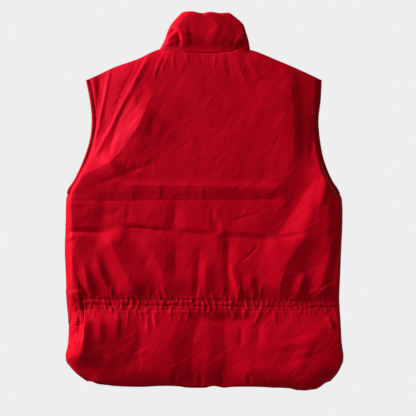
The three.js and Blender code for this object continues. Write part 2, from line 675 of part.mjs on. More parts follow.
// The left front comes round the side, as far as the side seam on the back
const wrapGrid = [...skirtGrid, ...backGrid]
  .map((row) => row[0])
  .filter(([, y]) => y < WRAP_END.y)
  .map(([seam, y]) => WRAP_SHARES.map((share) => [mix(leftEdge(y), seam - 2 * GAP, share), y]));

// Stand collar: the back half, and two front halves that end at the centre front
const collarGrid = (() => {
  const side = (edge, top) => (v) => {
    return [edge(mix(COLLAR_FOOT, COLLAR_HEAD, v)), mix(COLLAR_FOOT + GAP, top, v)];
  };
  const left = side(collarLeft, COLLAR_TOP[0].y);
  const right = side(collarRight, COLLAR_TOP[COLLAR_TOP.length - 1].y);
  const bottom = (u) => {
    const x = mix(left(0)[0], right(0)[0], u);
    return [x, backTopEdge(x) + GAP];
  };
  const top = (u) => {
    const x = mix(left(1)[0], right(1)[0], u);
    return [x, collarTopEdge(x)];
  };
  return patch(bottom, top, left, right, COLLAR_COLUMNS, COLLAR_ROWS);
})();

function collarUpper(x, y) {
  const beside = Math.min(x - collarLeft(y), collarRight(y) - x);
  const above = collarTopEdge(x) - y;
  const atTop = dome((above + COLLAR_RIM) / COLLAR_ROUND_TOP);
  const full = dome((beside + COLLAR_RIM) / ROUND_COLLAR) * atTop;
  const seam = 1 - COLLAR_SEAM_DIP * hump(y - backTopEdge(x), COLLAR_SEAM_REACH);
  const loft = (COLLAR_LOFT - EDGE) * seam;
  return PLANE + EDGE + full * (loft + foldRelief(COLLAR_FOLDS, x, y));
}

function frontCollarTop(x) {
  const share = Math.min(Math.abs(x / collarLeft(FRONT_COLLAR_TOP)), 1);
  return FRONT_COLLAR_TOP - FRONT_COLLAR_DIP * (1 - share * share);
}

function frontCollarGrid(side, front) {
  const neck = front[front.length - 1].filter(([x]) => Math.abs(x) < NECK_SIDE - 2);
  const seam = side < 0 ? [...neck].reverse() : neck;
  const reach = seam[seam.length - 1][0] / (side * NECK_SIDE);
  const grid = FRONT_COLLAR_ROWS.map((v) =>
    seam.map(([x, y]) => {
      const share = Math.abs(x) / (side * seam[seam.length - 1][0]);
      const edge = side < 0 ? collarLeft : collarRight;
      const topX = side * GAP + share * reach * (edge(FRONT_COLLAR_TOP) - side * GAP);
      return [mix(x, topX, v), mix(y + 2 * GAP, frontCollarTop(topX), v)];
    }),
  );
  return side < 0 ? grid.map((row) => [...row].reverse()) : grid;
}

function collarUnder(x, y) {
  const beside = Math.min(x - collarLeft(y), collarRight(y) - x);
  const above = frontCollarTop(x) - y;
  const full = dome((beside + COLLAR_RIM) / ROUND_COLLAR) * dome((above + COLLAR_RIM) / ROUND_COLLAR);
  const lift = (PLANE - EDGE) * (1 - full);
  return Math.max(lift, placketRecess(x));
}

// Folded binding over the edge of an armhole, made from the edge cells of its panel
// It lies on the panel's face, comes round the edge and ends at the shared plane
function binding(grid, face, column, lift, end) {
  const inward = column === 0 ? 1 : -1;
  const rows = grid.filter((row) => row[column][1] > UNDERARM + 2);
  const sections = rows.map((row) => {
    const [x, y] = row[column];
    const [ix, iy] = row[column + inward];
    const out = (distance) => x - inward * distance;
    return [
      [out(GAP), y, end],
      [out(GAP), y, face(x, y) + lift * GAP],
      [ix, iy, face(ix, iy) + lift * GAP],
      [ix, iy, face(ix, iy) + lift * (GAP + BINDING)],
      [out(GAP + BINDING), y, face(x, y) + lift * (GAP + BINDING)],
      [out(GAP + BINDING), y, end],
    ];
  });
  const sides = sections[0].length;
  const faces = [];
  const turned = inward * lift < 0;
  const quad = (a, b, c, d) => {
    const halves = inward > 0 ? [a, b, c, a, c, d] : [b, c, d, b, d, a];
    faces.push(...(turned ? halves : halves.reverse()));
  };
  for (let k = 0; k < sections.length - 1; k += 1) {
    for (let s = 0; s < sides; s += 1) {
      const next = (s + 1) % sides;
      quad(k * sides + s, k * sides + next, (k + 1) * sides + next, (k + 1) * sides + s);
    }
  }
  const last = (sections.length - 1) * sides;
  for (const [a, b, c, d] of [[0, 5, 4, 1], [1, 4, 3, 2]]) {
    quad(a, b, c, d);
    quad(last + d, last + c, last + b, last + a);
  }
  return packed(sections.flat(2), faces);
}

// Strip of cloth that lies on a stretch of a grid, moved out from its face
function overlay(grid, face, lift, thickness) {
  const near = (x, y) => face(x, y) + lift * GAP;
  const far = (x, y) => face(x, y) + lift * (GAP + thickness);
  return lift > 0 ? slab(grid, near, far) : slab(grid, far, near);
}

const leftWeltGrid = wrapGrid.filter(([[, y]]) => y >= WELT_BOTTOM && y <= WELT_TOP);
const rightWeltGrid = frontRightGrid
  .filter((row) => {
    const y = row[row.length - 1][1];
    return y >= WELT_BOTTOM - 1 && y <= WELT_TOP + 1;
  })
  .map((row) => row.filter(([x, y]) => x > rightEdge(y) - WELT_WIDTH && x < rightEdge(y) - 1));

// Placket over the centre front, and its press-stud caps
const placketGrid = (() => {
  const height = (share) => mix(PLACKET_BOTTOM, PLACKET_TOP, share);
  const columns = [-1, -PLACKET_FLAT, PLACKET_FLAT, 1];
  return PLACKET_ROWS.map((v) => columns.map((u) => [(u * PLACKET_WIDTH) / 2, height(v)]));
})();
const placketUnder = CAP_HEIGHT + 2 * GAP;
const placketEdge = (x) => {
  return Math.abs(x) > (PLACKET_WIDTH * (1 + PLACKET_FLAT)) / 4 ? PLACKET * PLACKET_CURL : 0;
};

function studCap() {
  const profile = [
    [0, 0],
    [CAP_RADIUS * CAP_FACE, 0],
    [CAP_RADIUS, CAP_HEIGHT * CAP_BEVEL],
    [CAP_RADIUS, CAP_HEIGHT],
    [0, CAP_HEIGHT],
  ].map(([radius, height]) => new THREE.Vector2(radius, height));
  const geometry = new THREE.LatheGeometry(profile, 16);
  geometry.rotateX(Math.PI / 2);
  return geometry;
}

const SHELL = { color: 0xb80b20, roughness: 0.55, metalness: 0 };
const TRIM = { color: 0xa00a1c, roughness: 0.6, metalness: 0 };
const STUD = { color: 0x9c1020, roughness: 0.35, metalness: 0.1 };
const vest = new THREE.Group();

function piece(name, geometry, finish) {
  const mesh = new THREE.Mesh(geometry, new THREE.MeshStandardMaterial(finish));
  mesh.name = name;
  vest.add(mesh);
  return mesh;
}

piece("back_panel", slab(backGrid, flatAt(BACK_UNDER), backTop, "under"), SHELL);
piece("waist_casing", slab(casingGrid, flatAt(BACK_UNDER), casingUpper, "under"), SHELL);
piece("back_skirt", slab(skirtGrid, flatAt(BACK_UNDER), backTop, "under"), SHELL);

const leftSlab = slab(frontLeftGrid, frontUnder, flatAt(FRONT_UPPER), "upper");
const leftWrap = slab(wrapGrid, flatAt(PLANE - EDGE / 2), backTop, "under");
piece("front_left", joined(leftSlab, leftWrap), SHELL);
piece("front_right", slab(frontRightGrid, frontUnder, flatAt(FRONT_UPPER), "upper"), SHELL);

piece("collar_back", slab(collarGrid, flatAt(BACK_UNDER), collarUpper, "under"), SHELL);
for (const [name, side, front] of [
  ["collar_front_left", -1, frontLeftGrid],
  ["collar_front_right", 1, frontRightGrid],
]) {
  const grid = frontCollarGrid(side, front);
  piece(name, slab(grid, collarUnder, flatAt(FRONT_UPPER), "upper"), SHELL);
}

const lastBack = backGrid[0].length - 1;
const lastFront = frontRightGrid[0].length - 1;
piece("armhole_binding_back_left", binding(backGrid, backTop, 0, 1, BACK_UNDER), TRIM);
piece("armhole_binding_back_right", binding(backGrid, backTop, lastBack, 1, BACK_UNDER), TRIM);
piece("armhole_binding_front_left", binding(frontLeftGrid, frontUnder, 0, -1, FRONT_UPPER), TRIM);
piece(
  "armhole_binding_front_right",
  binding(frontRightGrid, frontUnder, lastFront, -1, FRONT_UPPER),
  TRIM,
);

piece("pocket_welt_left", overlay(leftWeltGrid, backTop, 1, WELT), TRIM);
piece("pocket_welt_right", overlay(rightWeltGrid, frontUnder, -1, WELT), TRIM);

piece(
  "front_placket",
  slab(
    placketGrid,
    (x) => placketUnder + placketEdge(x),
    flatAt(placketUnder + PLACKET),
    "upper",
  ),
  TRIM,
);
for (let k = 0; k < CAP_COUNT; k += 1) {
  const cap = piece(`stud_cap_${k + 1}`, studCap(), STUD);
  cap.position.set(0, CAP_FIRST + k * CAP_PITCH, GAP);
}

export default vest;
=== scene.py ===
import math
from collections import namedtuple

import bmesh
import bpy
import numpy as np
from mathutils import Euler, Matrix, Vector


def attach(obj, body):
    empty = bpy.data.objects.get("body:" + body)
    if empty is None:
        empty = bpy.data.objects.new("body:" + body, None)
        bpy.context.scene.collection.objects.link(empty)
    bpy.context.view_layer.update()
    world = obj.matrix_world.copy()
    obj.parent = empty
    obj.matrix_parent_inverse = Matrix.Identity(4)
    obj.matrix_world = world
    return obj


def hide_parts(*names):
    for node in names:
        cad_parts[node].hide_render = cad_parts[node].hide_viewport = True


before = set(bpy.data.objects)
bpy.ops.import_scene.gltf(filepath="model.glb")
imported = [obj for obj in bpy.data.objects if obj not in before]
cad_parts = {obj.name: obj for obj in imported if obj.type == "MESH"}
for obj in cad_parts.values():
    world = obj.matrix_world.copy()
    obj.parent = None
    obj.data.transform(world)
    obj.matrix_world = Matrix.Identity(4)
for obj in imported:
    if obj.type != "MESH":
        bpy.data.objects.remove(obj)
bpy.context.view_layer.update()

# The vest's own sizes are in millimetres, on the same axes as the solids; MM turns them to metres
MM = 0.001

# Thickness of the layers
PLANE = 17.0
GAP = 0.3
EDGE = 3.5
BACK_LOFT = 21.0
COLLAR_LOFT = 21.0
ROUND_BACK = 34.0
ROUND_FRONT = 70.0
ROUND_SHOULDER = 46.0
ROUND_ARMHOLE = 88.0
ROUND_HEM = 70.0
ROUND_COLLAR = 24.0
RIM = 7.0

# Sewn edges and trims
BINDING_REACH = 2.0
BINDING_WIDTH = 7.5
BINDING = 1.2
ROPE_PITCH = 8.0
UNDERARM = 12.0
SHOULDER_TIP = 247.0
HEM_CORNER = -370.0
NECK_DROP = 58.0
NECK_SIDE = 94.0
COLLAR_OVERHANG = 2.4
FRONT_COLLAR_TOP = 352.0
FRONT_COLLAR_DIP = 26.0
PLACKET_WIDTH = 50.0
PLACKET = 3.4
PLACKET_TOP = 318.0
PLACKET_BOTTOM = -374.0
CAP_RADIUS = 7.5
CAP_HEIGHT = 1.6
CAP_COUNT = 7
CAP_FIRST = -346.0
CAP_PITCH = 108.0
RECESS_HALF = 34.0
RECESS_SLOPE = 11.0
WELT = 1.4
WELT_TOP = -181.0
WELT_BOTTOM = -251.0
WELT_WIDTH = 32.0

# Waist casing: its two rows of stitching at the left and at the right edge
CASING_TOP = (-199.5, -205.5)
CASING_BOTTOM = (-221.5, -226.0)
CASING_LOFT = 12.5
ELASTIC_SHARE = 0.66

EDGES = [
    (-370, -240, 259), (-352, -263, 274), (-325, -282, 285), (-290, -278, 282),
    (-245, -277, 279.5), (-204, -281, 277), (-150, -283, 279), (-100, -285, 281),
    (-40, -283, 283.5), (2, -282, 282), (22, -279, 275), (42, -266, 262), (83, -247, 245.5),
    (124, -234, 237.5), (165, -230, 234.5), (206, -234, 239), (247, -242, 241),
]
HEM = [
    (-240, -370), (-221, -376), (-180, -380), (-130, -381.5), (-80, -379.5), (-52, -380.5),
    (-34, -383), (2, -383), (20, -379.5), (39, -383), (60, -381.5), (110, -381.5), (140, -383),
    (172, -384), (192, -388), (212, -388), (236, -383), (259, -370),
]
BACK_TOP = [
    (-242, 247), (-221, 256), (-184, 273), (-135, 290), (-94, 309), (-70, 308.5), (-35, 305.5),
    (0, 304), (35, 305.5), (70, 308.5), (94, 309), (148, 288), (197, 267), (221, 256), (241, 247),
]
COLLAR_EDGES = [
    (309, -90, 94), (326, -81, 91), (343, -75, 86), (360, -66.5, 80), (374, -54.5, 65.5),
    (385, -44, 52),
]
COLLAR_TOP = [
    (-44, 384.5), (-25, 385), (-5, 381.5), (13, 384), (31, 382), (52, 383),
]
LEFT_WRAP = [(-370, 26), (-330, 20), (-250, 31), (-190, 29), (-110, 17), (-20, 10), (8, 3)]

# A fold runs from one end to the other and bows sideways in the middle. It has its own width
# on the left and the right of its run. It rises or sinks. Its crest is soft (2) to sharp (1.2), or
# PLAIN, where two even slopes meet at the crest as in pressed cloth
Fold = namedtuple("Fold", "x0 y0 x1 y1 bow left right rise crest")
PLAIN = 1

PRESSED_CREASES = [
    # Across the back, from being stored folded
    Fold(-226, -1, 170, 2, 0, 18, 80, -2.3, PLAIN),
    Fold(-284, -1, 158, 2, 0, 4, 4, -0.6, PLAIN),
    Fold(-279, -62, -197, -66, 0, 3, 6, -1.2, PLAIN),
    Fold(-172, -53, -56, -64, 1, 3, 6, -1.0, PLAIN),
    Fold(-182, 31, 176, 24, 2, 12, 21, 2.2, PLAIN),
    Fold(-146, -6, -147, 34, 0, 10, 7, 0.6, PLAIN),
    Fold(-90, -6, -91, 34, 0, 10, 7, 0.6, PLAIN),
    Fold(-3, -6, -3, 32, 0, 9, 7, 0.6, PLAIN),
    Fold(-176, -50, -52, -63, -1, 8, 40, -2.0, PLAIN),
    Fold(-64, -64, 32, -71, 0, 10, 50, -3.0, PLAIN),
    Fold(24, -71, 150, -78, -1, 12, 50, -3.8, PLAIN),
    Fold(138, -76, 212, -62, -3, 5, 8, -1.8, PLAIN),
    Fold(-290, -68, -196, -71, 9, 8, 12, -2.2, PLAIN),
    Fold(-294, -88, -260, -70, 0, 8, 6, 2.4, PLAIN),
    # Narrow ridges that rise to the left shoulder
    Fold(-233, 88, -190, 284, -3, 4, 6, 1.9, PLAIN),
    Fold(-230, 74, -106, 308, 0, 5, 10, 1.9, PLAIN),
]
UPPER_FOLDS = [
    Fold(54, -45, 116, -27, 3, 5, 7, -1.0, PLAIN),
    Fold(30, -73, 24, -32, 0, 14, 10, -1.6, PLAIN),
    # From the left armhole
    Fold(-224, 124, -214, 264, 0, 9, 12, -2.4, PLAIN),
    Fold(-205, 60, -114, 198, -9, 32, 80, 5.4, PLAIN),
    Fold(-150, 124, -100, 240, -5, 18, 76, 2.9, PLAIN),
    Fold(-196, 80, -144, 220, 8, 9, 10, -1.6, PLAIN),
    Fold(-190, 170, -132, 286, 2, 6, 6, -0.8, PLAIN),
    Fold(-296, 25, -166, 90, 0, 24, 56, 5.6, PLAIN),
    Fold(-226, 30, -90, 82, -2, 10, 8, -1.0, PLAIN),
    Fold(-216, 60, -148, 98, 2, 8, 8, -0.7, PLAIN),
    Fold(-108, 112, -104, 176, 0, 10, 16, -1.0, PLAIN),
    # From the right shoulder and armhole
    Fold(200, 70, 192, 272, -4, 16, 24, -1.8, PLAIN),
    Fold(186, 56, 178, 250, 0, 60, 30, 1.2, PLAIN),
    Fold(216, 76, 222, 180, -2, 8, 7, -1.4, PLAIN),
    Fold(236, 66, 226, 130, 0, 7, 5, 1.8, PLAIN),
    Fold(202, -92, 274, 88, 9, 27, 72, 8.0, 2),
    Fold(234, -24, 267, 92, 3, 13, 12, 3.4, PLAIN),
    Fold(138, -90, 232, 50, 3, 40, 40, -4.2, PLAIN),
    Fold(248, -110, 257, 30, 2, 12, 14, 1.0, PLAIN),
    Fold(154, -208, 218, -62, 18, 54, 62, 6.6, PLAIN),
    Fold(188, -208, 240, -56, 2, 26, 30, -1.4, 2),
    Fold(216, -202, 262, -168, 3, 4, 5, 2.2, 1.5),
    Fold(222, -196, 268, -156, 3, 4, 4, -1.8, 1.5),
    Fold(196, -204, 240, -178, 3, 5, 4, 1.8, 1.5),
    # Between the storage creases and the waist, from left to right
    Fold(-192, -84, -214, -10, 0, 26, 30, -2.6, 2),
    Fold(-134, -206, -198, -60, 0, 26, 44, 4.8, PLAIN),
    Fold(-188, -72, -184, 8, 0, 44, 86, 2.2, PLAIN),
    Fold(-266, -196, -270, 18, 0, 9, 62, 3.8, PLAIN),
    Fold(-66, -210, -128, -66, -8, 20, 40, 2.6, PLAIN),
    Fold(-58, -166, -60, 4, 0, 20, 22, -2.4, PLAIN),
    Fold(-154, -48, -152, 0, 0, 8, 8, -0.8, PLAIN),
    Fold(18, -62, 18, -4, 0, 8, 7, -1.0, PLAIN),
    Fold(-15, -206, -8, -84, 0, 14, 18, -2.0, PLAIN),
    Fold(5, -208, 1, -118, 0, 12, 20, 1.8, PLAIN),
    Fold(50, -206, 50, -74, 0, 13, 18, -2.2, PLAIN),
    Fold(73, -208, 54, -112, 1, 9, 15, 2.6, PLAIN),
    Fold(98, -208, 96, -136, 2, 18, 14, 2.6, PLAIN),
    Fold(232, -208, 264, -70, 2, 34, 16, 3.4, PLAIN),
    Fold(186, -206, 206, -140, 0, 13, 16, 4.0, PLAIN),
    Fold(66, -130, 119, -81, -3, 3, 4, -1.1, PLAIN),
    # Fan of folds at the left of the waist
    Fold(-225, -206, -246, -118, 0, 8, 11, 2.8, PLAIN),
    Fold(-246, -204, -274, -136, 0, 10, 9, 2.4, PLAIN),
    Fold(-186, -208, -217, -108, 2, 14, 16, 2.6, PLAIN),
    Fold(-236, -204, -262, -128, 0, 7, 6, -1.6, PLAIN),
    Fold(-178, -194, -208, -104, 3, 12, 24, -1.8, PLAIN),
    Fold(-262, -150, -272, -104, 0, 8, 10, 1.6, PLAIN),
    # Soft rays under the neck seam
    Fold(-104, 236, -76, 308, 3, 5, 5, 1.3, PLAIN),
    Fold(-88, 252, -66, 308, 2, 4, 5, 0.9, PLAIN),
    Fold(-60, 258, -60, 306, 2, 4, 5, 0.8, PLAIN),
    Fold(-30, 272, -38, 304, 1, 4, 5, 0.8, PLAIN),
    Fold(0, 274, -12, 302, 0, 4, 4, -0.6, PLAIN),
    Fold(20, 262, 24, 304, 1, 4, 5, 0.7, PLAIN),
    Fold(58, 244, 46, 306, 2, 8, 8, -0.9, PLAIN),
    Fold(92, 226, 66, 308, 4, 12, 12, 1.1, PLAIN),
    Fold(120, 240, 86, 306, 3, 8, 8, 0.8, PLAIN),
]
SKIRT_FOLDS = [
    # Left side and what falls away from it
    Fold(-256, -338, -238, -216, 0, 30, 112, 10.4, PLAIN),
    Fold(-245, -318, -242, -226, 0, 6, 16, 3.2, PLAIN),
    Fold(-254, -290, -254, -226, 0, 8, 12, -4.4, PLAIN),
    Fold(-209, -296, -211, -224, 0, 12, 12, 1.8, PLAIN),
    Fold(-174, -290, -176, -224, 0, 18, 8, 1.8, PLAIN),
    Fold(-276, -350, -282, -296, 0, 9, 8, 2.4, PLAIN),
    Fold(-282, -296, -256, -258, 0, 5, 8, -2.4, PLAIN),
    Fold(-280, -268, -262, -244, 0, 6, 6, 1.8, PLAIN),
    Fold(-214, -336, -200, -298, 0, 30, 16, -1.8, PLAIN),
    Fold(-126, -312, -126, -238, 0, 12, 50, -1.2, PLAIN),
    Fold(-134, -352, -132, -224, 0, 96, 40, -3.4, PLAIN),
    Fold(-114, -276, -116, -222, 0, 5, 9, 1.8, PLAIN),
    Fold(-96, -260, -103, -222, 0, 5, 8, 2.0, PLAIN),
    # Steps down to the middle
    Fold(-24, -396, -4, -216, 10, 40, 150, -6.0, PLAIN),
    Fold(42, -400, 40, -216, -3, 34, 130, -4.9, PLAIN),
    Fold(74, -300, 76, -252, 0, 9, 9, -1.6, PLAIN),
    Fold(86, -404, 96, -318, 0, 36, 90, 3.8, PLAIN),
    Fold(108, -302, 112, -240, 0, 16, 16, -2.4, PLAIN),
    # Right side
    Fold(184, -358, 244, -250, 4, 26, 80, 3.0, PLAIN),
    Fold(266, -268, 249, -230, 0, 8, 6, 3.0, PLAIN),
    Fold(128, -300, 232, -274, -5, 14, 16, 1.6, PLAIN),
    Fold(150, -330, 240, -306, -5, 12, 14, -1.4, PLAIN),
    # Small tucks at the hem
    Fold(-66, -404, -62, -344, 0, 6, 7, -3.4, PLAIN),
    Fold(-8, -402, -8, -350, 0, 6, 7, -2.6, PLAIN),
    Fold(34, -406, 36, -340, 0, 7, 6, -3.4, PLAIN),
    Fold(90, -402, 92, -348, 0, 5, 6, -2.8, PLAIN),
]
COLLAR_FOLDS = [
    # Tuck at the left: a hollow under a curled edge, and the stiff wedge beside it
    Fold(-43, 312, -62, 358, -7, 4, 9, 3.2, PLAIN),
    Fold(-37, 312, -44, 352, -7, 9, 5, 2.2, PLAIN),
    Fold(-31, 334, -44, 352, 0, 12, 8, 1.0, PLAIN),
    Fold(-76, 334, -56, 348, 0, 9, 4, -6.0, PLAIN),
    Fold(-82, 322, -60, 338, 0, 5, 6, 2.4, PLAIN),
    Fold(-50, 309, -57, 344, -4, 8, 3, -2.2, PLAIN),
    Fold(-86, 312, -62, 320, 2, 5, 4, 1.6, PLAIN),
    # Roll at the right that folds over itself near the seam
    Fold(60, 300, 96, 306, 25, 12, 3, 3.0, PLAIN),
    Fold(60, 300, 96, 306, 22, 2.5, 20, -5.0, PLAIN),
    # Soft slanting waves of the padding
    Fold(6, 306, 34, 362, 0, 14, 12, 1.0, PLAIN),
    Fold(26, 306, 58, 360, 0, 14, 12, 0.9, PLAIN),
    Fold(46, 306, 70, 346, 2, 12, 12, 1.1, PLAIN),
    Fold(-26, 306, -14, 380, 2, 26, 24, 0.6, PLAIN),
]
FRONT_FOLDS = [
    Fold(-262, -6, -60, 2, 0, 22, 6, 3.0, 1.5),
    Fold(60, 4, 262, -8, 0, 20, 7, 3.0, 1.5),
    Fold(-250, -90, -60, -70, 6, 12, 8, 2.4, 1.6),
    Fold(66, -76, 246, -96, -4, 12, 8, 2.4, 1.6),
    Fold(-226, 80, -120, 250, 6, 12, 12, 2.6, 1.8),
    Fold(228, 84, 128, 240, -6, 12, 12, 2.6, 1.8),
    Fold(-150, -190, -140, -330, 4, 14, 12, 2.4, 1.9),
    Fold(158, -170, 140, -320, -4, 14, 12, 2.4, 1.9),
]
FOLD_END = 30.0


def table_curve(rows, source, target):
    """Smooth curve through a table's points, as a function of one of its columns."""
    at = np.array([row[source] for row in rows], float)
    value = np.array([row[target] for row in rows], float)
    slope = np.empty_like(value)
    slope[1:-1] = (value[2:] - value[:-2]) / (at[2:] - at[:-2])
    slope[0] = (value[1] - value[0]) / (at[1] - at[0])
    slope[-1] = (value[-1] - value[-2]) / (at[-1] - at[-2])

    def curve(x):
        x = np.asarray(x, float)
        k = np.clip(np.searchsorted(at, x, side="right") - 1, 0, len(at) - 2)
        span = at[k + 1] - at[k]
        t = np.clip((x - at[k]) / span, 0, 1)
        blend = t * t * (3 - 2 * t)
        tangents = span * (t * (1 - t) ** 2 * slope[k] - t * t * (1 - t) * slope[k + 1])
        return value[k] + (value[k + 1] - value[k]) * blend + tangents

    return curve


left_edge = table_curve(EDGES, 0, 1)
right_edge = table_curve(EDGES, 0, 2)
hem_edge = table_curve(HEM, 0, 1)
back_top_edge = table_curve(BACK_TOP, 0, 1)
collar_left = table_curve(COLLAR_EDGES, 0, 1)
collar_right = table_curve(COLLAR_EDGES, 0, 2)
collar_top_edge = table_curve(COLLAR_TOP, 0, 1)
wrap_width = table_curve(LEFT_WRAP, 0, 1)


def mix(a, b, t):
    return a + (b - a) * t


def ease(t):
    t = np.clip(t, 0, 1)
    return t * t * (3 - 2 * t)


def dome(share):
    """Quarter round that climbs from 0 at the edge to 1."""
    t = np.clip(share, 0, 1)
    return np.sqrt(1 - (1 - t) ** 2)


def hump(distance, width):
    return np.exp(-((distance / width) ** 2))


def distance_to(line, x, y):
    best = np.full(np.shape(x), 1e9)
    for (ax, ay), (bx, by) in zip(line[:-1], line[1:]):
        run = (bx - ax) ** 2 + (by - ay) ** 2
        t = np.clip(((x - ax) * (bx - ax) + (y - ay) * (by - ay)) / run, 0, 1)
        best = np.minimum(best, np.hypot(x - mix(ax, bx, t), y - mix(ay, by, t)))
    return best


def side_line(edge, low, high, steps):
    y = np.linspace(low, high, steps + 1)
    return list(zip(edge(y), y))


def level_line(edge, low, high, steps):
    x = np.linspace(low, high, steps + 1)
    return list(zip(x, edge(x)))


SIDE_LEFT = side_line(left_edge, HEM_CORNER, UNDERARM, 24)
SIDE_RIGHT = side_line(right_edge, HEM_CORNER, UNDERARM, 24)
HEM_LINE = level_line(hem_edge, HEM[0][0], HEM[-1][0], 24)
ARMHOLE_LEFT = side_line(left_edge, UNDERARM, SHOULDER_TIP, 16)
ARMHOLE_RIGHT = side_line(right_edge, UNDERARM, SHOULDER_TIP, 16)
SHOULDER_LEFT = level_line(back_top_edge, BACK_TOP[0][0], -NECK_SIDE, 8)
SHOULDER_RIGHT = level_line(back_top_edge, NECK_SIDE, BACK_TOP[-1][0], 8)
NECK_LINE = level_line(back_top_edge, -NECK_SIDE, NECK_SIDE, 10)


def value_noise(x, y, size, seed):
    """Smooth random hills of one size, from -1 to 1, the same on every run."""
    lattice = np.random.RandomState(seed).rand(67, 71) * 2 - 1
    gx = np.asarray(x) / size + 500
    gy = np.asarray(y) / size + 500
    ix = np.floor(gx).astype(int)
    iy = np.floor(gy).astype(int)
    tx = ease(gx - ix)
    ty = ease(gy - iy)

    def corner(dx, dy):
        return lattice[(ix + dx) % 67, (iy + dy) % 71]

    return mix(mix(corner(0, 0), corner(1, 0), tx), mix(corner(0, 1), corner(1, 1), tx), ty)


def turned(x, y, degrees):
    """Places seen along and across a direction."""
    c = math.cos(math.radians(degrees))
    s = math.sin(math.radians(degrees))
    return x * c + y * s, -x * s + y * c


def relief(folds, x, y):
    """Height that the folds of a table add at each place."""
    height = np.zeros(np.shape(x))
    for fold in folds:
        run = math.hypot(fold.x1 - fold.x0, fold.y1 - fold.y0)
        ux = (fold.x1 - fold.x0) / run
        uy = (fold.y1 - fold.y0) / run
        reach = 3 * max(fold.left, fold.right) + abs(fold.bow)
        near = (
            (x > min(fold.x0, fold.x1) - reach)
            & (x < max(fold.x0, fold.x1) + reach)
            & (y > min(fold.y0, fold.y1) - reach)
            & (y < max(fold.y0, fold.y1) + reach)
        )
        px = x[near] - fold.x0
        py = y[near] - fold.y0
        t = (px * ux + py * uy) / run
        aside = py * ux - px * uy - fold.bow * 4 * t * (1 - t)
        width = np.where(aside > 0, fold.left, fold.right)
        soft = np.sqrt(aside**2 + 0.5) / width
        if fold.crest == PLAIN:
            shape = (1 - soft + np.sqrt((1 - soft) ** 2 + 0.02)) / 2
        else:
            shape = np.exp(-(soft**fold.crest))
        fade = ease(np.minimum(t, 1 - t) * run / min(FOLD_END, 0.36 * run))
        height[near] += fold.rise * shape * fade
    return height


def wavered(x, y):
    """Places drawn a little aside, so that no fold runs dead straight."""
    dx = 2.0 * value_noise(x, y, 44, 11) + 0.6 * value_noise(x, y, 17, 12)
    dy = 1.8 * value_noise(x, y, 48, 13) + 0.5 * value_noise(x, y, 19, 14)
    return x + dx, y + dy


def scattered_wrinkles(count, seed, low, high, angle, spread, rise):
    """Fine short wrinkles of crisp cloth, mostly along one slant."""
    random = np.random.RandomState(seed)
    rows = []
    for _ in range(count):
        x = random.uniform(low[0], high[0])
        y = random.uniform(low[1], high[1])
        turn = math.radians(random.normal(angle, spread))
        half = random.uniform(9, 26)
        dx = half * math.cos(turn)
        dy = half * math.sin(turn)
        bow = random.uniform(-2.5, 2.5)
        width = random.uniform(1.3, 2.6)
        height = rise * random.uniform(0.4, 1.0) * random.choice((-1, 1))
        rows.append(Fold(x - dx, y - dy, x + dx, y + dy, bow, width, width * 1.5, height, 1.6))
    return rows


FINE_WRINKLES = (
    scattered_wrinkles(190, 21, (-260, -170), (260, 290), 52, 20, 0.4)
    + scattered_wrinkles(40, 24, (-226, 90), (-130, 230), 58, 8, 0.4)
    + scattered_wrinkles(46, 22, (60, -180), (270, 120), 30, 12, 0.4)
    + scattered_wrinkles(110, 23, (-260, -372), (270, -240), 38, 20, 0.36)
)


def casing_row(x, ends):
    left = left_edge(ends[0])
    right = right_edge(ends[1])
    return mix(ends[0], ends[1], (x - left) / (right - left))


def casing_top(x):
    return casing_row(x, CASING_TOP)


def casing_bottom(x):
    return casing_row(x, CASING_BOTTOM)


def gather_folds():
    """Puckers along the elastic: short bent ridges that run out of each row of stitching."""
    random = np.random.RandomState(31)
    rows = []
    x = -250.0
    while x < 268:
        top = float(casing_top(x))
        bottom = float(casing_bottom(x))
        calm = 0.55 if x > 150 else 1.0
        up = random.uniform(6, 16) + (random.rand() < 0.3) * random.uniform(10, 26)
        down = random.uniform(6, 14) + (random.rand() < 0.3) * random.uniform(10, 24)
        lean = random.uniform(-0.5, 0.3)
        width = random.uniform(2.2, 4.4)
        rise = calm * random.uniform(0.5, 1.7)
        foot = random.uniform(3, 9)
        rows.append(Fold(x, top - foot, x + lean * up, top + up, 1, width, width * 0.8, rise, 1.6))
        shift = random.uniform(-5, 5)
        rise = calm * random.uniform(0.5, 1.7)
        rows.append(
            Fold(
                x + shift - lean * down, bottom - down, x + shift, bottom + foot,
                1, width, width * 0.8, rise, 1.6,
            )
        )
        slant = random.uniform(-6, 6)
        rows.append(
            Fold(
                x - slant, bottom - 4, x + slant, top + 4,
                random.uniform(-2.4, 2.4), random.uniform(1.6, 2.8), random.uniform(1.4, 2.4),
                calm * random.uniform(0.6, 2.0) * random.choice((1, 1, -0.7)), 1.5,
            )
        )
        x += random.uniform(5.5, 14.5)
    return rows


GATHERS = gather_folds()


def swell(share, rim, level=0.0, steep=6.0):
    """Padding that starts with a small round rim, may stay level, and then thickens evenly."""
    even = np.clip((share - level) / (1 - level), 0, 1)
    start = 1 - (1 - np.clip(share * steep, 0, 1)) ** 2
    return rim * start + (1 - rim) * (1.35 * even - 0.35 * even**3)


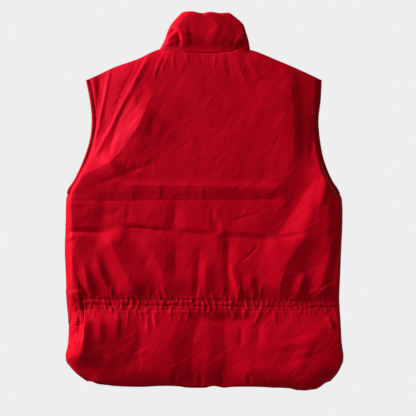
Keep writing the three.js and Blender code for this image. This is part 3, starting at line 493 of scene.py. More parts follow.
def fullness(x, y, around):
    left_round = around * mix(1, 0.4, ease((y + 90) / 60))
    left_side = dome(distance_to(SIDE_LEFT, x, y) / left_round)
    right_side = swell(distance_to(SIDE_RIGHT, x, y) / around, 0.88, 0, 4.5)
    hem = dome(distance_to(HEM_LINE, x, y) / (ROUND_HEM * mix(1, 0.62, ease((x - 100) / 80))))
    left_rim = mix(0.95, 0.26, ease((y - 40) / 70))
    left_level = 0.24 * ease((y - 110) / 40)
    left_share = (distance_to(ARMHOLE_LEFT, x, y) - RIM) / ROUND_ARMHOLE
    left_armhole = swell(left_share, left_rim, left_level, mix(15.0, 7.0, ease((y - 50) / 60)))
    right_rim = mix(0.78, 0.46, ease((y - 50) / 60))
    right_steep = mix(6.4, 11.0, ease((y - 50) / 60))
    right_armhole = swell((distance_to(ARMHOLE_RIGHT, x, y) - RIM) / 66, right_rim, 0, right_steep)
    shoulder = np.minimum(distance_to(SHOULDER_LEFT, x, y), distance_to(SHOULDER_RIGHT, x, y))
    return (
        left_side * right_side * hem * left_armhole * right_armhole
        * dome((shoulder + 3) / ROUND_SHOULDER)
    )


def near_rim(x, y):
    """How far the folds may rise: they die out only in the last few millimetres."""
    sides = np.minimum(distance_to(SIDE_LEFT, x, y), distance_to(SIDE_RIGHT, x, y))
    armholes = np.minimum(distance_to(ARMHOLE_LEFT, x, y), distance_to(ARMHOLE_RIGHT, x, y))
    shoulders = np.minimum(distance_to(SHOULDER_LEFT, x, y), distance_to(SHOULDER_RIGHT, x, y))
    nearest = np.minimum(np.minimum(sides, armholes - 4), np.minimum(shoulders, distance_to(HEM_LINE, x, y)))
    close = ease((x - 205) / 25) * ease((110 - y) / 40) * ease((y + 30) / 30)
    return dome(nearest / mix(20, 8, close))


def seam_x(y):
    """Side seam on the left, where the wrapped front meets the back."""
    return left_edge(y) + np.maximum(BINDING_REACH, np.where(y < 8, wrap_width(y), 3.0))


def back_top(x, y):
    """Upper face of the back, the waist casing, the skirt and the wrapped front."""
    top = casing_top(x)
    bottom = casing_bottom(x)
    middle = (top + bottom) / 2
    waist = 1 - 0.36 * hump(y - middle, 34)
    below_neck = distance_to(NECK_LINE, x, y)
    neck = 1 - 0.16 * hump(below_neck, 16)
    tucked = -2.6 * hump(below_neck - 3.0, 1.6) * ease((x + 40) / 14) * ease((70 - x) / 12)
    shoulders = mix(1, 0.82, ease((y - 60) / 200))
    skirt = mix(1, 1.1, ease((-240 - y) / 50))
    loft = (BACK_LOFT - EDGE) * waist * neck * shoulders * skirt
    wx, wy = wavered(x, y)
    folds = relief(PRESSED_CREASES, x, y) + relief(UPPER_FOLDS, wx, wy) + relief(SKIRT_FOLDS, wx, wy)
    along, across = turned(x, y, 58)
    lumps = 0.7 * value_noise(along, across * 1.6, 60, 41) + 0.3 * value_noise(along, across * 1.8, 28, 42)
    crumple = 0.1 * value_noise(along, across * 2.2, 12, 43)
    fine = relief(FINE_WRINKLES, x, y)
    gathers = relief(GATHERS, x, y)
    stitched = -0.4 * hump(y - top, 1.3) - 0.4 * hump(y - bottom, 1.3)
    inside = (y - bottom) / (top - bottom) + 0.1 * value_noise(x, y, 11, 45)
    uneven = 0.5 + 0.6 * value_noise(x, y, 22, 46)
    elastic = (1.1 * hump(inside - ELASTIC_SHARE, 0.15) - 0.6 * hump(inside - 0.4, 0.11)) * uneven
    seam = seam_x(y)
    pocket = ease((y - WELT_BOTTOM + 6) / 10) * ease((WELT_TOP - 8 - y) / 12)
    beside = np.abs(x - seam - 2.0 * pocket)
    seam_dip = -(0.06 + 3.4 * pocket) * hump(beside, 1.3 + 0.6 * pocket) * (y < 8)
    full = fullness(x, y, ROUND_BACK)
    beside_binding = distance_to(ARMHOLE_LEFT, x, y) - BINDING_WIDTH
    pressed = -0.9 * hump(beside_binding - 1.5, 1.8) * ease((y - 60) / 40)
    pressed = pressed * mix(1, 0.4, ease((y - 110) / 40))
    worked = folds + fine + gathers + stitched + elastic + seam_dip + tucked + pressed
    height = full * (loft + lumps + crumple) + near_rim(x, y) * worked
    return np.maximum(PLANE + EDGE + height, PLANE + 2.2)


def placket_recess(x):
    recess = CAP_HEIGHT + PLACKET + 3 * GAP
    return recess * (1 - ease((np.abs(x) - RECESS_HALF) / RECESS_SLOPE))


def front_under(x, y):
    """Under face of the fronts: flat where it rests, with shallow folds let in."""
    full = fullness(x, y, ROUND_FRONT)
    lift = (PLANE - EDGE) * (1 - full)
    folds = np.maximum(relief(FRONT_FOLDS, *wavered(x, y)), 0)
    return np.maximum(lift + folds * full, placket_recess(x))


def collar_upper(x, y):
    left_round = dome((x - collar_left(y) + 2) / ROUND_COLLAR)
    inside = collar_right(y) - x + 2
    right_round = 0.72 * dome(inside / 10) + 0.28 * ease(inside / 60)
    above = collar_top_edge(x) - y
    full = left_round * right_round * dome((above + 3) / 11)
    seam = 1 - 0.34 * hump(y - back_top_edge(x), 20)
    loft = (COLLAR_LOFT - EDGE) * seam
    lumps = 0.6 * value_noise(x, y, 22, 51) + 0.25 * value_noise(x, y, 9, 52)
    tuck = -2.4 * hump(x + 2, 2.6) * hump(above, 5) - 1.6 * hump(x - 34, 3) * hump(above, 5)
    return PLANE + EDGE + full * (loft + relief(COLLAR_FOLDS, x, y) + lumps) + tuck * (above > -1)


def front_collar_top(x):
    share = np.minimum(np.abs(x / float(collar_left(FRONT_COLLAR_TOP))), 1)
    return FRONT_COLLAR_TOP - FRONT_COLLAR_DIP * (1 - share**2)


def collar_under(x, y):
    beside = np.minimum(x - collar_left(y), collar_right(y) - x)
    above = front_collar_top(x) - y
    full = dome((beside + 4) / ROUND_COLLAR) * dome((above + 4) / ROUND_COLLAR)
    return np.maximum((PLANE - EDGE) * (1 - full), placket_recess(x))


def patch(bottom, top, left, right, u, v):
    """Places between four edges that meet at the corners, each edge given as (x, y)."""
    places = []
    for axis in (0, 1):
        across = mix(left(v)[axis], right(v)[axis], u)
        along = mix(bottom(u)[axis], top(u)[axis], v)
        zero = np.zeros(1)
        one = np.ones(1)
        low = mix(bottom(zero)[axis], bottom(one)[axis], u)
        high = mix(top(zero)[axis], top(one)[axis], u)
        places.append(across + along - mix(low, high, v))
    return places


def toward_ends(share, low, high):
    """Spacing that is closer near one or both ends, where the padding rounds off."""
    t = np.asarray(share, float)
    if low:
        near = low * (1 - np.cos(np.pi / 2 * np.clip(t / low, 0, 1)))
        t = np.where(t < low, near, t)
    if high:
        near = 1 - high * (1 - np.cos(np.pi / 2 * np.clip((1 - t) / high, 0, 1)))
        t = np.where(t > 1 - high, near, t)
    return t


def grid_mesh(name, columns, rows, place):
    """Sheet of quads whose places and heights come from a function of its two shares."""
    bm = bmesh.new()
    bmesh.ops.create_grid(bm, x_segments=columns, y_segments=rows, size=1)
    mesh = bpy.data.meshes.new(name)
    bm.to_mesh(mesh)
    bm.free()
    flat = np.empty(len(mesh.vertices) * 3)
    mesh.vertices.foreach_get("co", flat)
    flat = flat.reshape(-1, 3)
    x, y, z = place((flat[:, 0] + 1) / 2, (flat[:, 1] + 1) / 2)
    mesh.vertices.foreach_set("co", (np.column_stack([x, y, z]) * MM).ravel())
    return mesh


def close_to_plane(mesh, height):
    """Walls from the sheet's rim to a plane, and the flat face there, so the piece is closed."""
    bm = bmesh.new()
    bm.from_mesh(mesh)
    rim = [edge for edge in bm.edges if edge.is_boundary]
    made = bmesh.ops.extrude_edge_only(bm, edges=rim)
    for item in made["geom"]:
        if isinstance(item, bmesh.types.BMVert):
            item.co.z = height * MM
    bmesh.ops.holes_fill(bm, edges=[edge for edge in bm.edges if edge.is_boundary], sides=0)
    bmesh.ops.recalc_face_normals(bm, faces=bm.faces)
    bm.to_mesh(mesh)
    bm.free()
    return mesh


def shown(name, mesh, material, nodes=()):
    """Piece of the vest in the scene, with its finish and the solids that it stands for."""
    piece = bpy.data.objects.new(name, mesh)
    bpy.context.scene.collection.objects.link(piece)
    mesh.materials.append(material)
    mesh.polygons.foreach_set("use_smooth", [True] * len(mesh.polygons))
    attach(piece, "root")
    if nodes:
        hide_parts(*nodes)
    return piece


def node(tree, kind, **sockets):
    made = tree.nodes.new(kind)
    for name, value in sockets.items():
        made.inputs[name.replace("_", " ")].default_value = value
    return made


def cloth_group():
    """Plain weave, soft slubs and faint crush marks: a height and two tones over the cloth."""
    tree = bpy.data.node_groups.new("plain_weave_cloth", "ShaderNodeTree")
    tree.interface.new_socket("Vector", in_out="INPUT", socket_type="NodeSocketVector")
    threads = tree.interface.new_socket("Threads", in_out="INPUT", socket_type="NodeSocketFloat")
    threads.default_value = 2200
    crush = tree.interface.new_socket("Crush", in_out="INPUT", socket_type="NodeSocketFloat")
    crush.default_value = 1.0
    tree.interface.new_socket("Height", in_out="OUTPUT", socket_type="NodeSocketFloat")
    tree.interface.new_socket("Tone", in_out="OUTPUT", socket_type="NodeSocketFloat")
    tree.interface.new_socket("Gloss", in_out="OUTPUT", socket_type="NodeSocketFloat")
    links = tree.links
    entry = tree.nodes.new("NodeGroupInput")
    leave = tree.nodes.new("NodeGroupOutput")

    split = tree.nodes.new("ShaderNodeSeparateXYZ")
    links.new(entry.outputs["Vector"], split.inputs[0])
    waves = []
    for axis in ("X", "Y"):
        scaled = tree.nodes.new("ShaderNodeMath")
        scaled.operation = "MULTIPLY"
        links.new(split.outputs[axis], scaled.inputs[0])
        links.new(entry.outputs["Threads"], scaled.inputs[1])
        wave = tree.nodes.new("ShaderNodeMath")
        wave.operation = "SINE"
        links.new(scaled.outputs[0], wave.inputs[0])
        waves.append(wave)
    weave = tree.nodes.new("ShaderNodeMath")
    weave.operation = "MULTIPLY"
    links.new(waves[0].outputs[0], weave.inputs[0])
    links.new(waves[1].outputs[0], weave.inputs[1])

    slubs = node(tree, "ShaderNodeTexNoise", Scale=420.0, Detail=3.0, Roughness=0.6)
    stretch = tree.nodes.new("ShaderNodeMapping")
    stretch.inputs["Scale"].default_value = (0.25, 1.0, 1.0)
    stretch.inputs["Rotation"].default_value = (0, 0, math.radians(55))
    links.new(entry.outputs["Vector"], stretch.inputs["Vector"])
    links.new(stretch.outputs[0], slubs.inputs["Vector"])

    crushed = node(tree, "ShaderNodeTexNoise", Scale=95.0, Detail=6.0, Roughness=0.62, Distortion=0.9)
    links.new(stretch.outputs[0], crushed.inputs["Vector"])
    crush_size = tree.nodes.new("ShaderNodeMath")
    crush_size.operation = "MULTIPLY"
    links.new(crushed.outputs[0], crush_size.inputs[0])
    links.new(entry.outputs["Crush"], crush_size.inputs[1])

    slant = tree.nodes.new("ShaderNodeMapping")
    slant.inputs["Scale"].default_value = (0.3, 1.0, 0.6)
    slant.inputs["Rotation"].default_value = (0, 0, math.radians(-50))
    links.new(entry.outputs["Vector"], slant.inputs["Vector"])
    wrinkles = node(tree, "ShaderNodeTexNoise", Scale=34.0, Detail=3.5, Roughness=0.5, Distortion=0.6)
    wrinkles.noise_type = "RIDGED_MULTIFRACTAL"
    wrinkles.normalize = True
    links.new(slant.outputs[0], wrinkles.inputs["Vector"])
    patchy = node(tree, "ShaderNodeTexNoise", Scale=9.0, Detail=2.0, Roughness=0.5)
    links.new(entry.outputs["Vector"], patchy.inputs["Vector"])
    where = tree.nodes.new("ShaderNodeMapRange")
    where.inputs["From Min"].default_value = 0.42
    where.inputs["From Max"].default_value = 0.68
    links.new(patchy.outputs[0], where.inputs["Value"])
    creased = tree.nodes.new("ShaderNodeMath")
    creased.operation = "MULTIPLY"
    links.new(wrinkles.outputs[0], creased.inputs[0])
    links.new(where.outputs["Result"], creased.inputs[1])

    parts = []
    for source, weight in ((weave.outputs[0], 0.05), (slubs.outputs[0], 0.22)):
        part = tree.nodes.new("ShaderNodeMath")
        part.operation = "MULTIPLY"
        part.inputs[1].default_value = weight
        links.new(source, part.inputs[0])
        parts.append(part)
    total = tree.nodes.new("ShaderNodeMath")
    total.operation = "ADD"
    links.new(parts[0].outputs[0], total.inputs[0])
    links.new(parts[1].outputs[0], total.inputs[1])
    height = tree.nodes.new("ShaderNodeMath")
    height.operation = "ADD"
    links.new(total.outputs[0], height.inputs[0])
    links.new(crush_size.outputs[0], height.inputs[1])
    finished = tree.nodes.new("ShaderNodeMath")
    finished.operation = "MULTIPLY_ADD"
    finished.inputs[1].default_value = 1.1
    links.new(creased.outputs[0], finished.inputs[0])
    links.new(height.outputs[0], finished.inputs[2])
    links.new(finished.outputs[0], leave.inputs["Height"])

    patches = node(tree, "ShaderNodeTexNoise", Scale=11.0, Detail=4.0, Roughness=0.55)
    links.new(entry.outputs["Vector"], patches.inputs["Vector"])
    links.new(patches.outputs[0], leave.inputs["Tone"])
    links.new(slubs.outputs[0], leave.inputs["Gloss"])
    return tree


def cloth_material(name, weave, dark, light, threads, crush, bump, roughness, sheen):
    """Woven cloth: its colour wanders a little, and its weave and crush marks catch the light."""
    material = bpy.data.materials.new(name)
    material.use_nodes = True
    tree = material.node_tree
    links = tree.links
    shader = tree.nodes["Principled BSDF"]
    shader.inputs["Sheen Weight"].default_value = sheen
    shader.inputs["Sheen Roughness"].default_value = 0.4
    shader.inputs["Sheen Tint"].default_value = (1.0, 0.02, 0.06, 1)
    shader.inputs["Specular IOR Level"].default_value = 0.18
    shader.inputs["Specular Tint"].default_value = (1.0, 0.08, 0.5, 1)

    place = tree.nodes.new("ShaderNodeTexCoord")
    cloth = tree.nodes.new("ShaderNodeGroup")
    cloth.node_tree = weave
    cloth.inputs["Threads"].default_value = threads
    cloth.inputs["Crush"].default_value = crush
    links.new(place.outputs["Object"], cloth.inputs["Vector"])

    colour = tree.nodes.new("ShaderNodeMix")
    colour.data_type = "RGBA"
    colour.inputs["A"].default_value = dark
    colour.inputs["B"].default_value = light
    links.new(cloth.outputs["Tone"], colour.inputs["Factor"])
    links.new(colour.outputs["Result"], shader.inputs["Base Color"])

    gloss = tree.nodes.new("ShaderNodeMapRange")
    gloss.inputs["To Min"].default_value = roughness - 0.06
    gloss.inputs["To Max"].default_value = roughness + 0.08
    links.new(cloth.outputs["Gloss"], gloss.inputs["Value"])
    links.new(gloss.outputs["Result"], shader.inputs["Roughness"])

    relief_node = tree.nodes.new("ShaderNodeBump")
    relief_node.inputs["Strength"].default_value = bump
    relief_node.inputs["Distance"].default_value = 0.0012
    links.new(cloth.outputs["Height"], relief_node.inputs["Height"])
    links.new(relief_node.outputs["Normal"], shader.inputs["Normal"])
    return material


def plain_material(name, dark, light, roughness, scale):
    """Thread or enamel: two close tones of one colour, with a little grain."""
    material = bpy.data.materials.new(name)
    material.use_nodes = True
    tree = material.node_tree
    shader = tree.nodes["Principled BSDF"]
    place = tree.nodes.new("ShaderNodeTexCoord")
    grain = node(tree, "ShaderNodeTexNoise", Scale=scale, Detail=2.0)
    tree.links.new(place.outputs["Object"], grain.inputs["Vector"])
    colour = tree.nodes.new("ShaderNodeMix")
    colour.data_type = "RGBA"
    colour.inputs["A"].default_value = dark
    colour.inputs["B"].default_value = light
    tree.links.new(grain.outputs[0], colour.inputs["Factor"])
    tree.links.new(colour.outputs["Result"], shader.inputs["Base Color"])
    span = tree.nodes.new("ShaderNodeMapRange")
    span.inputs["To Min"].default_value = roughness - 0.05
    span.inputs["To Max"].default_value = roughness + 0.08
    tree.links.new(grain.outputs[0], span.inputs["Value"])
    tree.links.new(span.outputs["Result"], shader.inputs["Roughness"])
    return material


weave = cloth_group()
SHELL = cloth_material(
    "red_shell_cloth", weave, (0.56, 0.0005, 0.0085, 1), (0.64, 0.0007, 0.0105, 1),
    threads=9000, crush=0.5, bump=0.5, roughness=0.6, sheen=0.0,
)
TRIM = cloth_material(
    "red_folded_trim", weave, (0.50, 0.0008, 0.008, 1), (0.58, 0.001, 0.0105, 1),
    threads=9000, crush=0.4, bump=0.5, roughness=0.62, sheen=0.0,
)
THREAD = plain_material(
    "red_thread", (0.46, 0.02, 0.03, 1), (0.56, 0.04, 0.055, 1), 0.5, 900
)
ENAMEL = plain_material(
    "red_enamel", (0.42, 0.002, 0.01, 1), (0.5, 0.003, 0.014, 1), 0.3, 300
)


def back_right(y):
    return right_edge(y) - BINDING_REACH * ease((y - UNDERARM + 10) / 20)


def front_left_edge(y):
    return left_edge(y) + BINDING_REACH * ease((y - UNDERARM + 10) / 20)


def upper_back_place(u, v):
    low = CASING_TOP[0] + GAP
    low_right = CASING_TOP[1] + GAP

    def left(t):
        y = mix(low, SHOULDER_TIP, t)
        return seam_x(y), y

    def right(t):
        y = mix(low_right, SHOULDER_TIP, t)
        return back_right(y), y

    def bottom(t):
        x = mix(float(seam_x(low)), float(back_right(low_right)), t)
        return x, casing_top(x) + GAP

    def top(t):
        x = mix(float(seam_x(SHOULDER_TIP)), float(back_right(SHOULDER_TIP)), t)
        return x, back_top_edge(x)

    u = toward_ends(u, 0.1, 0.1)
    v = toward_ends(v, 0, 0.08)
    x, y = patch(bottom, top, left, right, u, v)
    return x, y, back_top(x, y)


def casing_place(u, v):
    def edge(row, ends):
        start = float(seam_x(ends[0]))
        finish = float(back_right(ends[1]))

        def at(t):
            x = mix(start, finish, t)
            return x, row(x)

        return at

    u = toward_ends(u, 0.1, 0.1)
    bx, by = edge(casing_bottom, CASING_BOTTOM)(u)
    tx, ty = edge(casing_top, CASING_TOP)(u)
    x = mix(bx, tx, v)
    y = mix(by, ty, v)
    return x, y, back_top(x, y)


def skirt_place(u, v):
    high = CASING_BOTTOM[0] - GAP
    high_right = CASING_BOTTOM[1] - GAP

    def left(t):
        y = mix(HEM_CORNER, high, t)
        return seam_x(y), y

    def right(t):
        y = mix(HEM_CORNER, high_right, t)
        return back_right(y), y

    def bottom(t):
        x = mix(float(seam_x(HEM_CORNER)), float(back_right(HEM_CORNER)), t)
        return x, mix(HEM_CORNER, hem_edge(x), ease(np.minimum(t, 1 - t) / 0.06))

    def top(t):
        x = mix(float(seam_x(high)), float(back_right(high_right)), t)
        return x, casing_bottom(x) - GAP

    u = toward_ends(u, 0.1, 0.1)
    v = toward_ends(v, 0.3, 0)
    x, y = patch(bottom, top, left, right, u, v)
    return x, y, back_top(x, y)


def wrap_place(u, v):
    y = mix(HEM_CORNER, 4.0, v)
    outer = left_edge(y)
    u = toward_ends(u, 0.9, 0)
    x = mix(outer, seam_x(y), u)
    return x, y, back_top(x, y)


def neckline(x):
    share = np.minimum(np.abs(x) / NECK_SIDE, 1)
    return back_top_edge(x) - NECK_DROP * np.sqrt(1 - share**2)


def front_place(side, edge):
    def place(u, v):
        def outer(t):
            y = mix(HEM_CORNER, SHOULDER_TIP, t)
            return edge(y), y

        def bottom(t):
            x = mix(side * GAP, float(edge(HEM_CORNER)), t)
            return x, mix(hem_edge(x), HEM_CORNER, ease((t - 0.9) / 0.1))

        def top(t):
            x = mix(side * GAP, float(edge(SHOULDER_TIP)), t)
            return x, neckline(x) - GAP

        def inner(t):
            low = float(bottom(np.zeros(1))[1][0])
            high = float(top(np.zeros(1))[1][0])
            return np.full(np.shape(t), side * GAP), mix(low, high, t)

        u = toward_ends(u, 0, 0.25)
        v = toward_ends(v, 0.12, 0.08)
        x, y = patch(bottom, top, inner, outer, u, v)
        return x, y, front_under(x, y)

    return place


def collar_place(u, v):
    foot = COLLAR_EDGES[0][0]
    head = COLLAR_EDGES[-1][0]

    def left(t):
        return collar_left(mix(foot, head, t)), mix(foot + GAP, COLLAR_TOP[0][1], t)

    def right(t):
        return collar_right(mix(foot, head, t)), mix(foot + GAP, COLLAR_TOP[-1][1], t)

    def bottom(t):
        x = mix(float(collar_left(foot)), float(collar_right(foot)), t)
        return x, back_top_edge(x) - COLLAR_OVERHANG * ease(np.minimum(t, 1 - t) / 0.1)

    def top(t):
        x = mix(float(collar_left(head)), float(collar_right(head)), t)
        return x, collar_top_edge(x)

    u = toward_ends(u, 0.15, 0.15)
    v = toward_ends(v, 0, 0.3)
    x, y = patch(bottom, top, left, right, u, v)
    return x, y, collar_upper(x, y)


def front_collar_place(side):
    edge = collar_left if side < 0 else collar_right

    def place(u, v):
        reach = NECK_SIDE - 3
        x0 = side * mix(GAP, reach, u)
        y0 = neckline(x0) + 2 * GAP
        x1 = mix(side * GAP, float(edge(FRONT_COLLAR_TOP)), u)
        y1 = front_collar_top(x1)
        x = mix(x0, x1, v)
        y = mix(y0, y1, v)
        return x, y, collar_under(x, y)

    return place


def padded_piece(name, columns, rows, place, plane, nodes, material=SHELL):
    mesh = close_to_plane(grid_mesh(name, columns, rows, place), plane)
    piece = shown(name, mesh, material, nodes)
    return piece


padded_piece("upper_back", 340, 282, upper_back_place, PLANE + GAP, ["back_panel"])
padded_piece("gathered_casing", 520, 22, casing_place, PLANE + GAP, ["waist_casing"])
padded_piece("skirt_back", 400, 150, skirt_place, PLANE + GAP, ["back_skirt"])
padded_piece("back_collar", 140, 70, collar_place, PLANE + GAP, ["collar_back"])


def left_front():
    """Left front with the part of it that comes round the side onto the back."""
    under = grid_mesh("left_front", 90, 190, front_place(-1, front_left_edge))
    close_to_plane(under, PLANE - GAP)
    over = grid_mesh("left_front_wrap", 26, 300, wrap_place)
    close_to_plane(over, PLANE - GAP)
    bm = bmesh.new()
    bm.from_mesh(under)
    bm.from_mesh(over)
    bm.to_mesh(under)
    bm.free()
    bpy.data.meshes.remove(over)
    piece = shown("left_front", under, SHELL, ["front_left"])
    return piece


left_front()
padded_piece("right_front", 90, 190, front_place(1, back_right), PLANE - GAP, ["front_right"])
padded_piece(
    "left_collar_front", 50, 50, front_collar_place(-1), PLANE - GAP, ["collar_front_left"],
)
padded_piece(
    "right_collar_front", 50, 50, front_collar_place(1), PLANE - GAP, ["collar_front_right"],
)


def strip_piece(name, columns, rows, place, nodes, thickness=0.8):
    """Folded strip of cloth: a thin shell made of a grid that lies over an edge."""
    piece = shown(name, grid_mesh(name, columns, rows, place), TRIM, nodes)
    shell = piece.modifiers.new("thickness", "SOLIDIFY")
    shell.thickness = thickness * MM
    shell.offset = -1
    return piece


def binding_place(edge, inward, face, lift):
    """Armhole binding: up the cut edge of a panel and some way over its face."""
    wall = 0.22

    def place(u, v):
        along = 1 - v if inward * lift < 0 else v
        y = mix(UNDERARM + 2, SHOULDER_TIP, along)
        slender = mix(0.86, 1.1, ease((y - 60) / 150))
        reach = BINDING_WIDTH * slender - BINDING_REACH
        rim_x = edge(y) + inward * BINDING_REACH
        over = np.clip((u - wall) / (1 - wall), 0, 1)
        up = np.clip(u / wall, 0, 1)
        aside = mix(-BINDING_REACH, reach, over)
        x = rim_x + inward * aside
        top = face(rim_x + inward * np.maximum(aside, 0), y)
        twist = (y + 0.6 * aside) / ROPE_PITCH * 2 * np.pi + 3 * value_noise(x, y, 20, 61)
        rope = 0.5 + 0.5 * np.sin(twist)
        strength = mix(0.9, 0.2, ease((y - 90) / 70))
        roll = np.sin(np.pi * np.clip(over * 0.9 + 0.12, 0, 1))
        rising = mix(0.1, BINDING * 0.75, ease(over / 0.4))
        bulge = mix(rising, 0.1, ease((over - 0.45) / 0.5)) + strength * rope * roll * (1 - over)
        crown = top + lift * (GAP + bulge)
        floor = PLANE + lift * 1.2
        z = np.where(u < wall, mix(floor, crown, up), crown)
        x = np.where(u < wall, x + inward * 0.5 * (1 - up), x)
        return x, y, z

    return place


BINDINGS = (
    ("left_back_binding", left_edge, 1, back_top, 1, "armhole_binding_back_left", "upper_back"),
    ("right_back_binding", right_edge, -1, back_top, 1, "armhole_binding_back_right", "upper_back"),
    ("left_front_binding", left_edge, 1, front_under, -1, "armhole_binding_front_left", "left_front"),
    ("right_front_binding", right_edge, -1, front_under, -1, "armhole_binding_front_right", "right_front"),
)
for name, edge, inward, face, lift, cad_node, base in BINDINGS:
    strip_piece(
        name, 14, 420, binding_place(edge, inward, face, lift),
        nodes=[cad_node],
    )


WELT_FOLDS = [
    Fold(-280, -184, -262, -212, 2, 3, 4, 2.2, PLAIN),
    Fold(-269, -184, -259, -208, -2, 3, 5, 1.2, PLAIN),
    Fold(-277, -200, -258, -238, 3, 4, 6, 1.6, PLAIN),
    Fold(-268, -226, -252, -248, 1, 3, 4, 1.8, PLAIN),
    Fold(-274, -192, -262, -222, 0, 3, 3, -1.4, PLAIN),
    Fold(-260, -210, -252, -236, 0, 4, 3, -0.8, PLAIN),
]


def left_welt_top(x, y):
    """Welt of the side pocket: puffed between its bar tacks, with its mouth towards the back."""
    outer = left_edge(y) + 0.4
    inner = left_welt_mouth(y)
    share = np.clip((x - outer) / (inner - outer), 0, 1)
    along = (y - WELT_BOTTOM) / (WELT_TOP - WELT_BOTTOM)
    ends = ease(np.minimum(along, 1 - along) / 0.1)
    level = PLANE + EDGE + 12.5 * dome(share / 0.9)
    base = np.maximum(back_top(x - 2.0, y), level)
    belly = 1.8 * np.sqrt(share) * (1 - share**8) * ends
    return base + GAP + WELT + belly + relief(WELT_FOLDS, x, y) * ends


def left_welt_mouth(y):
    return seam_x(y) + 0.4 - 1.2 * hump(y + 205, 16)


def left_welt_place(u, v):
    y = mix(WELT_BOTTOM, WELT_TOP, v)
    x = mix(left_edge(y) + 0.4, left_welt_mouth(y), toward_ends(u, 0.4, 0.2))
    return x, y, left_welt_top(x, y)


strip_piece(
    "left_welt", 44, 90, left_welt_place,
    nodes=["pocket_welt_left"],
)


def right_welt_place(u, v):
    """The same welt on the hidden face of the right front."""
    y = mix(WELT_TOP, WELT_BOTTOM, v)
    x = right_edge(y) - mix(WELT_WIDTH, 3, u)
    ends = ease(np.minimum(v, 1 - v) / 0.12)
    belly = np.sin(np.pi * np.clip(u, 0, 1)) ** 0.6 * ends
    return x, y, np.maximum(front_under(x, y) - GAP - WELT - 1.2 * belly, 0.2)


strip_piece(
    "right_welt", 24, 50, right_welt_place,
    nodes=["pocket_welt_right"],
)


def placket_place(u, v):
    """Placket over the centre front, lying on its stud caps."""
    y = mix(PLACKET_TOP, PLACKET_BOTTOM, v)
    x = mix(-PLACKET_WIDTH / 2, PLACKET_WIDTH / 2, u)
    edge = 1 - dome(np.minimum(u, 1 - u) / 0.06)
    return x, y, CAP_HEIGHT + 2 * GAP + 0.9 * edge


strip_piece(
    "placket", 30, 160, placket_place,
    nodes=["front_placket"], thickness=2.6,
)


def stud_cap(number, y):
    """Turned cap of a press stud with a softened rim."""
    bm = bmesh.new()
    profile = ((0, 0), (0.72, 0), (0.94, 0.2), (1, 0.55), (1, 1), (0, 1))
    points = [bm.verts.new((r * CAP_RADIUS * MM, 0, h * CAP_HEIGHT * MM)) for r, h in profile]
    edges = [bm.edges.new(pair) for pair in zip(points[:-1], points[1:])]
    bmesh.ops.spin(
        bm, geom=points + edges, cent=(0, 0, 0), axis=(0, 0, 1), angle=2 * math.pi,
        steps=40, use_merge=True,
    )
    bmesh.ops.remove_doubles(bm, verts=bm.verts, dist=1e-6)
    bmesh.ops.translate(bm, verts=bm.verts, vec=(0, y * MM, 0))
    bmesh.ops.recalc_face_normals(bm, faces=bm.faces)
    name = f"stud_{number}"
    mesh = bpy.data.meshes.new(name)
    bm.to_mesh(mesh)
    bm.free()
    piece = shown(name, mesh, ENAMEL, [f"stud_cap_{number}"])
    return piece


for number in range(1, CAP_COUNT + 1):
    stud_cap(number, CAP_FIRST + CAP_PITCH * (number - 1))


def path_points(line, pitch):
    """Evenly spaced places along a drawn line, with the direction at each."""
    line = np.asarray(line, float)
    steps = np.hypot(*np.diff(line, axis=0).T)
    total = np.concatenate([[0], np.cumsum(steps)])
    at = np.arange(pitch / 2, total[-1], pitch)
    x = np.interp(at, total, line[:, 0])
    y = np.interp(at, total, line[:, 1])
    ahead_x = np.interp(at + 0.5, total, line[:, 0])
    ahead_y = np.interp(at + 0.5, total, line[:, 1])
    turn = np.arctan2(ahead_y - y, ahead_x - x)
    return x, y, turn


def stitching(name, lines, face, lift=1, pitch=3.3, length=2.5, thick=0.55, rise=0.1):
    """Thread of one seam: short rounded stitches that lie on the cloth along drawn lines."""
    bm = bmesh.new()
    bmesh.ops.create_uvsphere(bm, u_segments=6, v_segments=4, radius=1)
    bmesh.ops.rotate(bm, verts=bm.verts, cent=(0, 0, 0), matrix=Matrix.Rotation(math.pi / 2, 3, "Y"))
    bm.verts.index_update()
    one = np.array([vert.co[:] for vert in bm.verts])
    faces = [[vert.index for vert in f.verts] for f in bm.faces]
    bm.free()
    places = []
    polygons = []
    count = 0
    for line in lines:
        x, y, turn = path_points(line, pitch)
        half = length / 2
        dx = np.cos(turn) * half
        dy = np.sin(turn) * half
        ahead = face(x + dx, y + dy)
        behind = face(x - dx, y - dy)
        middle = (ahead + behind) / 2 + lift * rise
        for k in range(len(x)):
            pitch_angle = math.atan2(ahead[k] - behind[k], length)
            spin = Euler((0, -pitch_angle, turn[k])).to_matrix()
            scaled = one * (half, thick / 2, thick / 2)
            places.append((scaled @ np.array(spin).T + (x[k], y[k], middle[k])) * MM)
            polygons += [[index + count for index in f] for f in faces]
            count += len(one)
    mesh = bpy.data.meshes.new(name)
    mesh.from_pydata(np.concatenate(places), [], polygons)
    return shown(name, mesh, THREAD)


def row_line(row, start, finish):
    x = np.linspace(start, finish, 400)
    return np.column_stack([x, row(x)])


stitching(
    "casing_stitches",
    [row_line(casing_top, -248, 272), row_line(casing_bottom, -247, 272)],
    lambda x, y: np.maximum(back_top(x, y + 0.8), back_top(x, y - 0.8)) - 0.2,
)

def binding_line(edge, inward):
    y = np.linspace(UNDERARM + 8, SHOULDER_TIP - 4, 200)
    return np.column_stack([edge(y) + inward * (BINDING_WIDTH - 2.4), y])


def on_binding(face, lift):
    return lambda x, y: face(x, y) + lift * (2 * GAP + 0.3)


for name, edge, inward, face, lift, cad_node, base in BINDINGS:
    stitching(
        name + "_stitches", [binding_line(edge, inward)], on_binding(face, lift), lift,
        pitch=3.0, length=2.2, thick=0.4,
    )

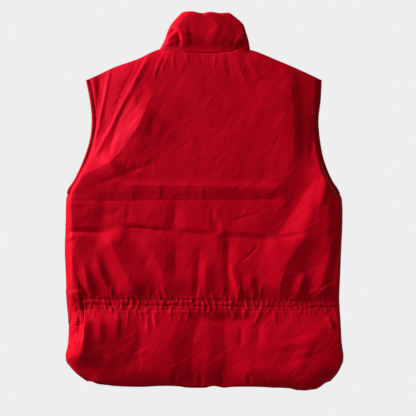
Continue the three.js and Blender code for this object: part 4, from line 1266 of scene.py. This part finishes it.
WELT_TACKS = (
    [(-277, -185), (-268, -184), (-259, -185), (-254, -187)],
    [(-270, -245), (-265, -243), (-261, -246), (-257, -243), (-253, -246), (-249, -244)],
    [(-251, -186), (-251, -192)],
)
stitching("left_welt_tacks", WELT_TACKS, left_welt_top, pitch=2.2, length=1.8, thick=0.5, rise=0.2)


def placket_line(x):
    y = np.linspace(PLACKET_BOTTOM + 4, PLACKET_TOP - 4, 300)
    return np.column_stack([np.full_like(y, x), y])


PLACKET_HEM = PLACKET_WIDTH / 2 - 5
stitching(
    "placket_stitches", [placket_line(-PLACKET_HEM), placket_line(PLACKET_HEM)],
    lambda x, y: np.full_like(x, CAP_HEIGHT + 2 * GAP), -1,
)

# Camera straight above, with the collar at the top of the picture
PICTURE = 416
MM_PER_PIXEL = 2.05
PICTURE_CENTRE = (8.2, -15.4)
LENS = 85.0
camera_data = bpy.data.cameras.new("camera")
camera_data.lens = LENS
camera_data.sensor_width = 36.0
camera = bpy.data.objects.new("camera", camera_data)
bpy.context.scene.collection.objects.link(camera)
bpy.context.scene.camera = camera
distance = PICTURE * MM_PER_PIXEL * LENS / camera_data.sensor_width
camera.location = (
    PICTURE_CENTRE[0] * MM, PICTURE_CENTRE[1] * MM, (distance + PLANE) * MM,
)


def area_light(name, place, aim, size, power, colour=(1, 1, 1)):
    data = bpy.data.lights.new(name, "AREA")
    data.size = size
    data.energy = power
    data.color = colour
    light = bpy.data.objects.new(name, data)
    light.location = place
    light.rotation_euler = (Vector(aim) - Vector(place)).to_track_quat("-Z", "Y").to_euler()
    bpy.context.scene.collection.objects.link(light)
    return light


KEY_DISTANCE = 3.6
KEY_TURN = math.radians(152)
KEY_ELEVATION = math.radians(13)
key_place = (
    KEY_DISTANCE * math.cos(KEY_ELEVATION) * math.cos(KEY_TURN),
    KEY_DISTANCE * math.cos(KEY_ELEVATION) * math.sin(KEY_TURN),
    KEY_DISTANCE * math.sin(KEY_ELEVATION),
)
area_light("window", key_place, (0, 0, 0), 0.8, 243)

world = bpy.data.worlds.new("studio")
world.use_nodes = True
world.node_tree.nodes["Background"].inputs["Color"].default_value = (1.0, 1.0, 1.0, 1)
world.node_tree.nodes["Background"].inputs["Strength"].default_value = 0.205
bpy.context.scene.world = world
bpy.context.scene.view_settings.view_transform = "Standard"


def pale_floor():
    bm = bmesh.new()
    bmesh.ops.create_grid(bm, x_segments=1, y_segments=1, size=40)
    mesh = bpy.data.meshes.new("floor")
    bm.to_mesh(mesh)
    bm.free()
    floor = bpy.data.objects.new("floor", mesh)
    floor.location.z = -0.0005
    bpy.context.scene.collection.objects.link(floor)
    material = bpy.data.materials.new("pale_floor")
    material.use_nodes = True
    shader = material.node_tree.nodes["Principled BSDF"]
    shader.inputs["Base Color"].default_value = (0.0, 0.0, 0.0, 1)
    shader.inputs["Specular IOR Level"].default_value = 0
    shader.inputs["Roughness"].default_value = 1
    shader.inputs["Emission Color"].default_value = (0.855, 0.855, 0.855, 1)
    shader.inputs["Emission Strength"].default_value = 1
    mesh.materials.append(material)
    floor.visible_diffuse = False
    floor.visible_glossy = False


pale_floor()
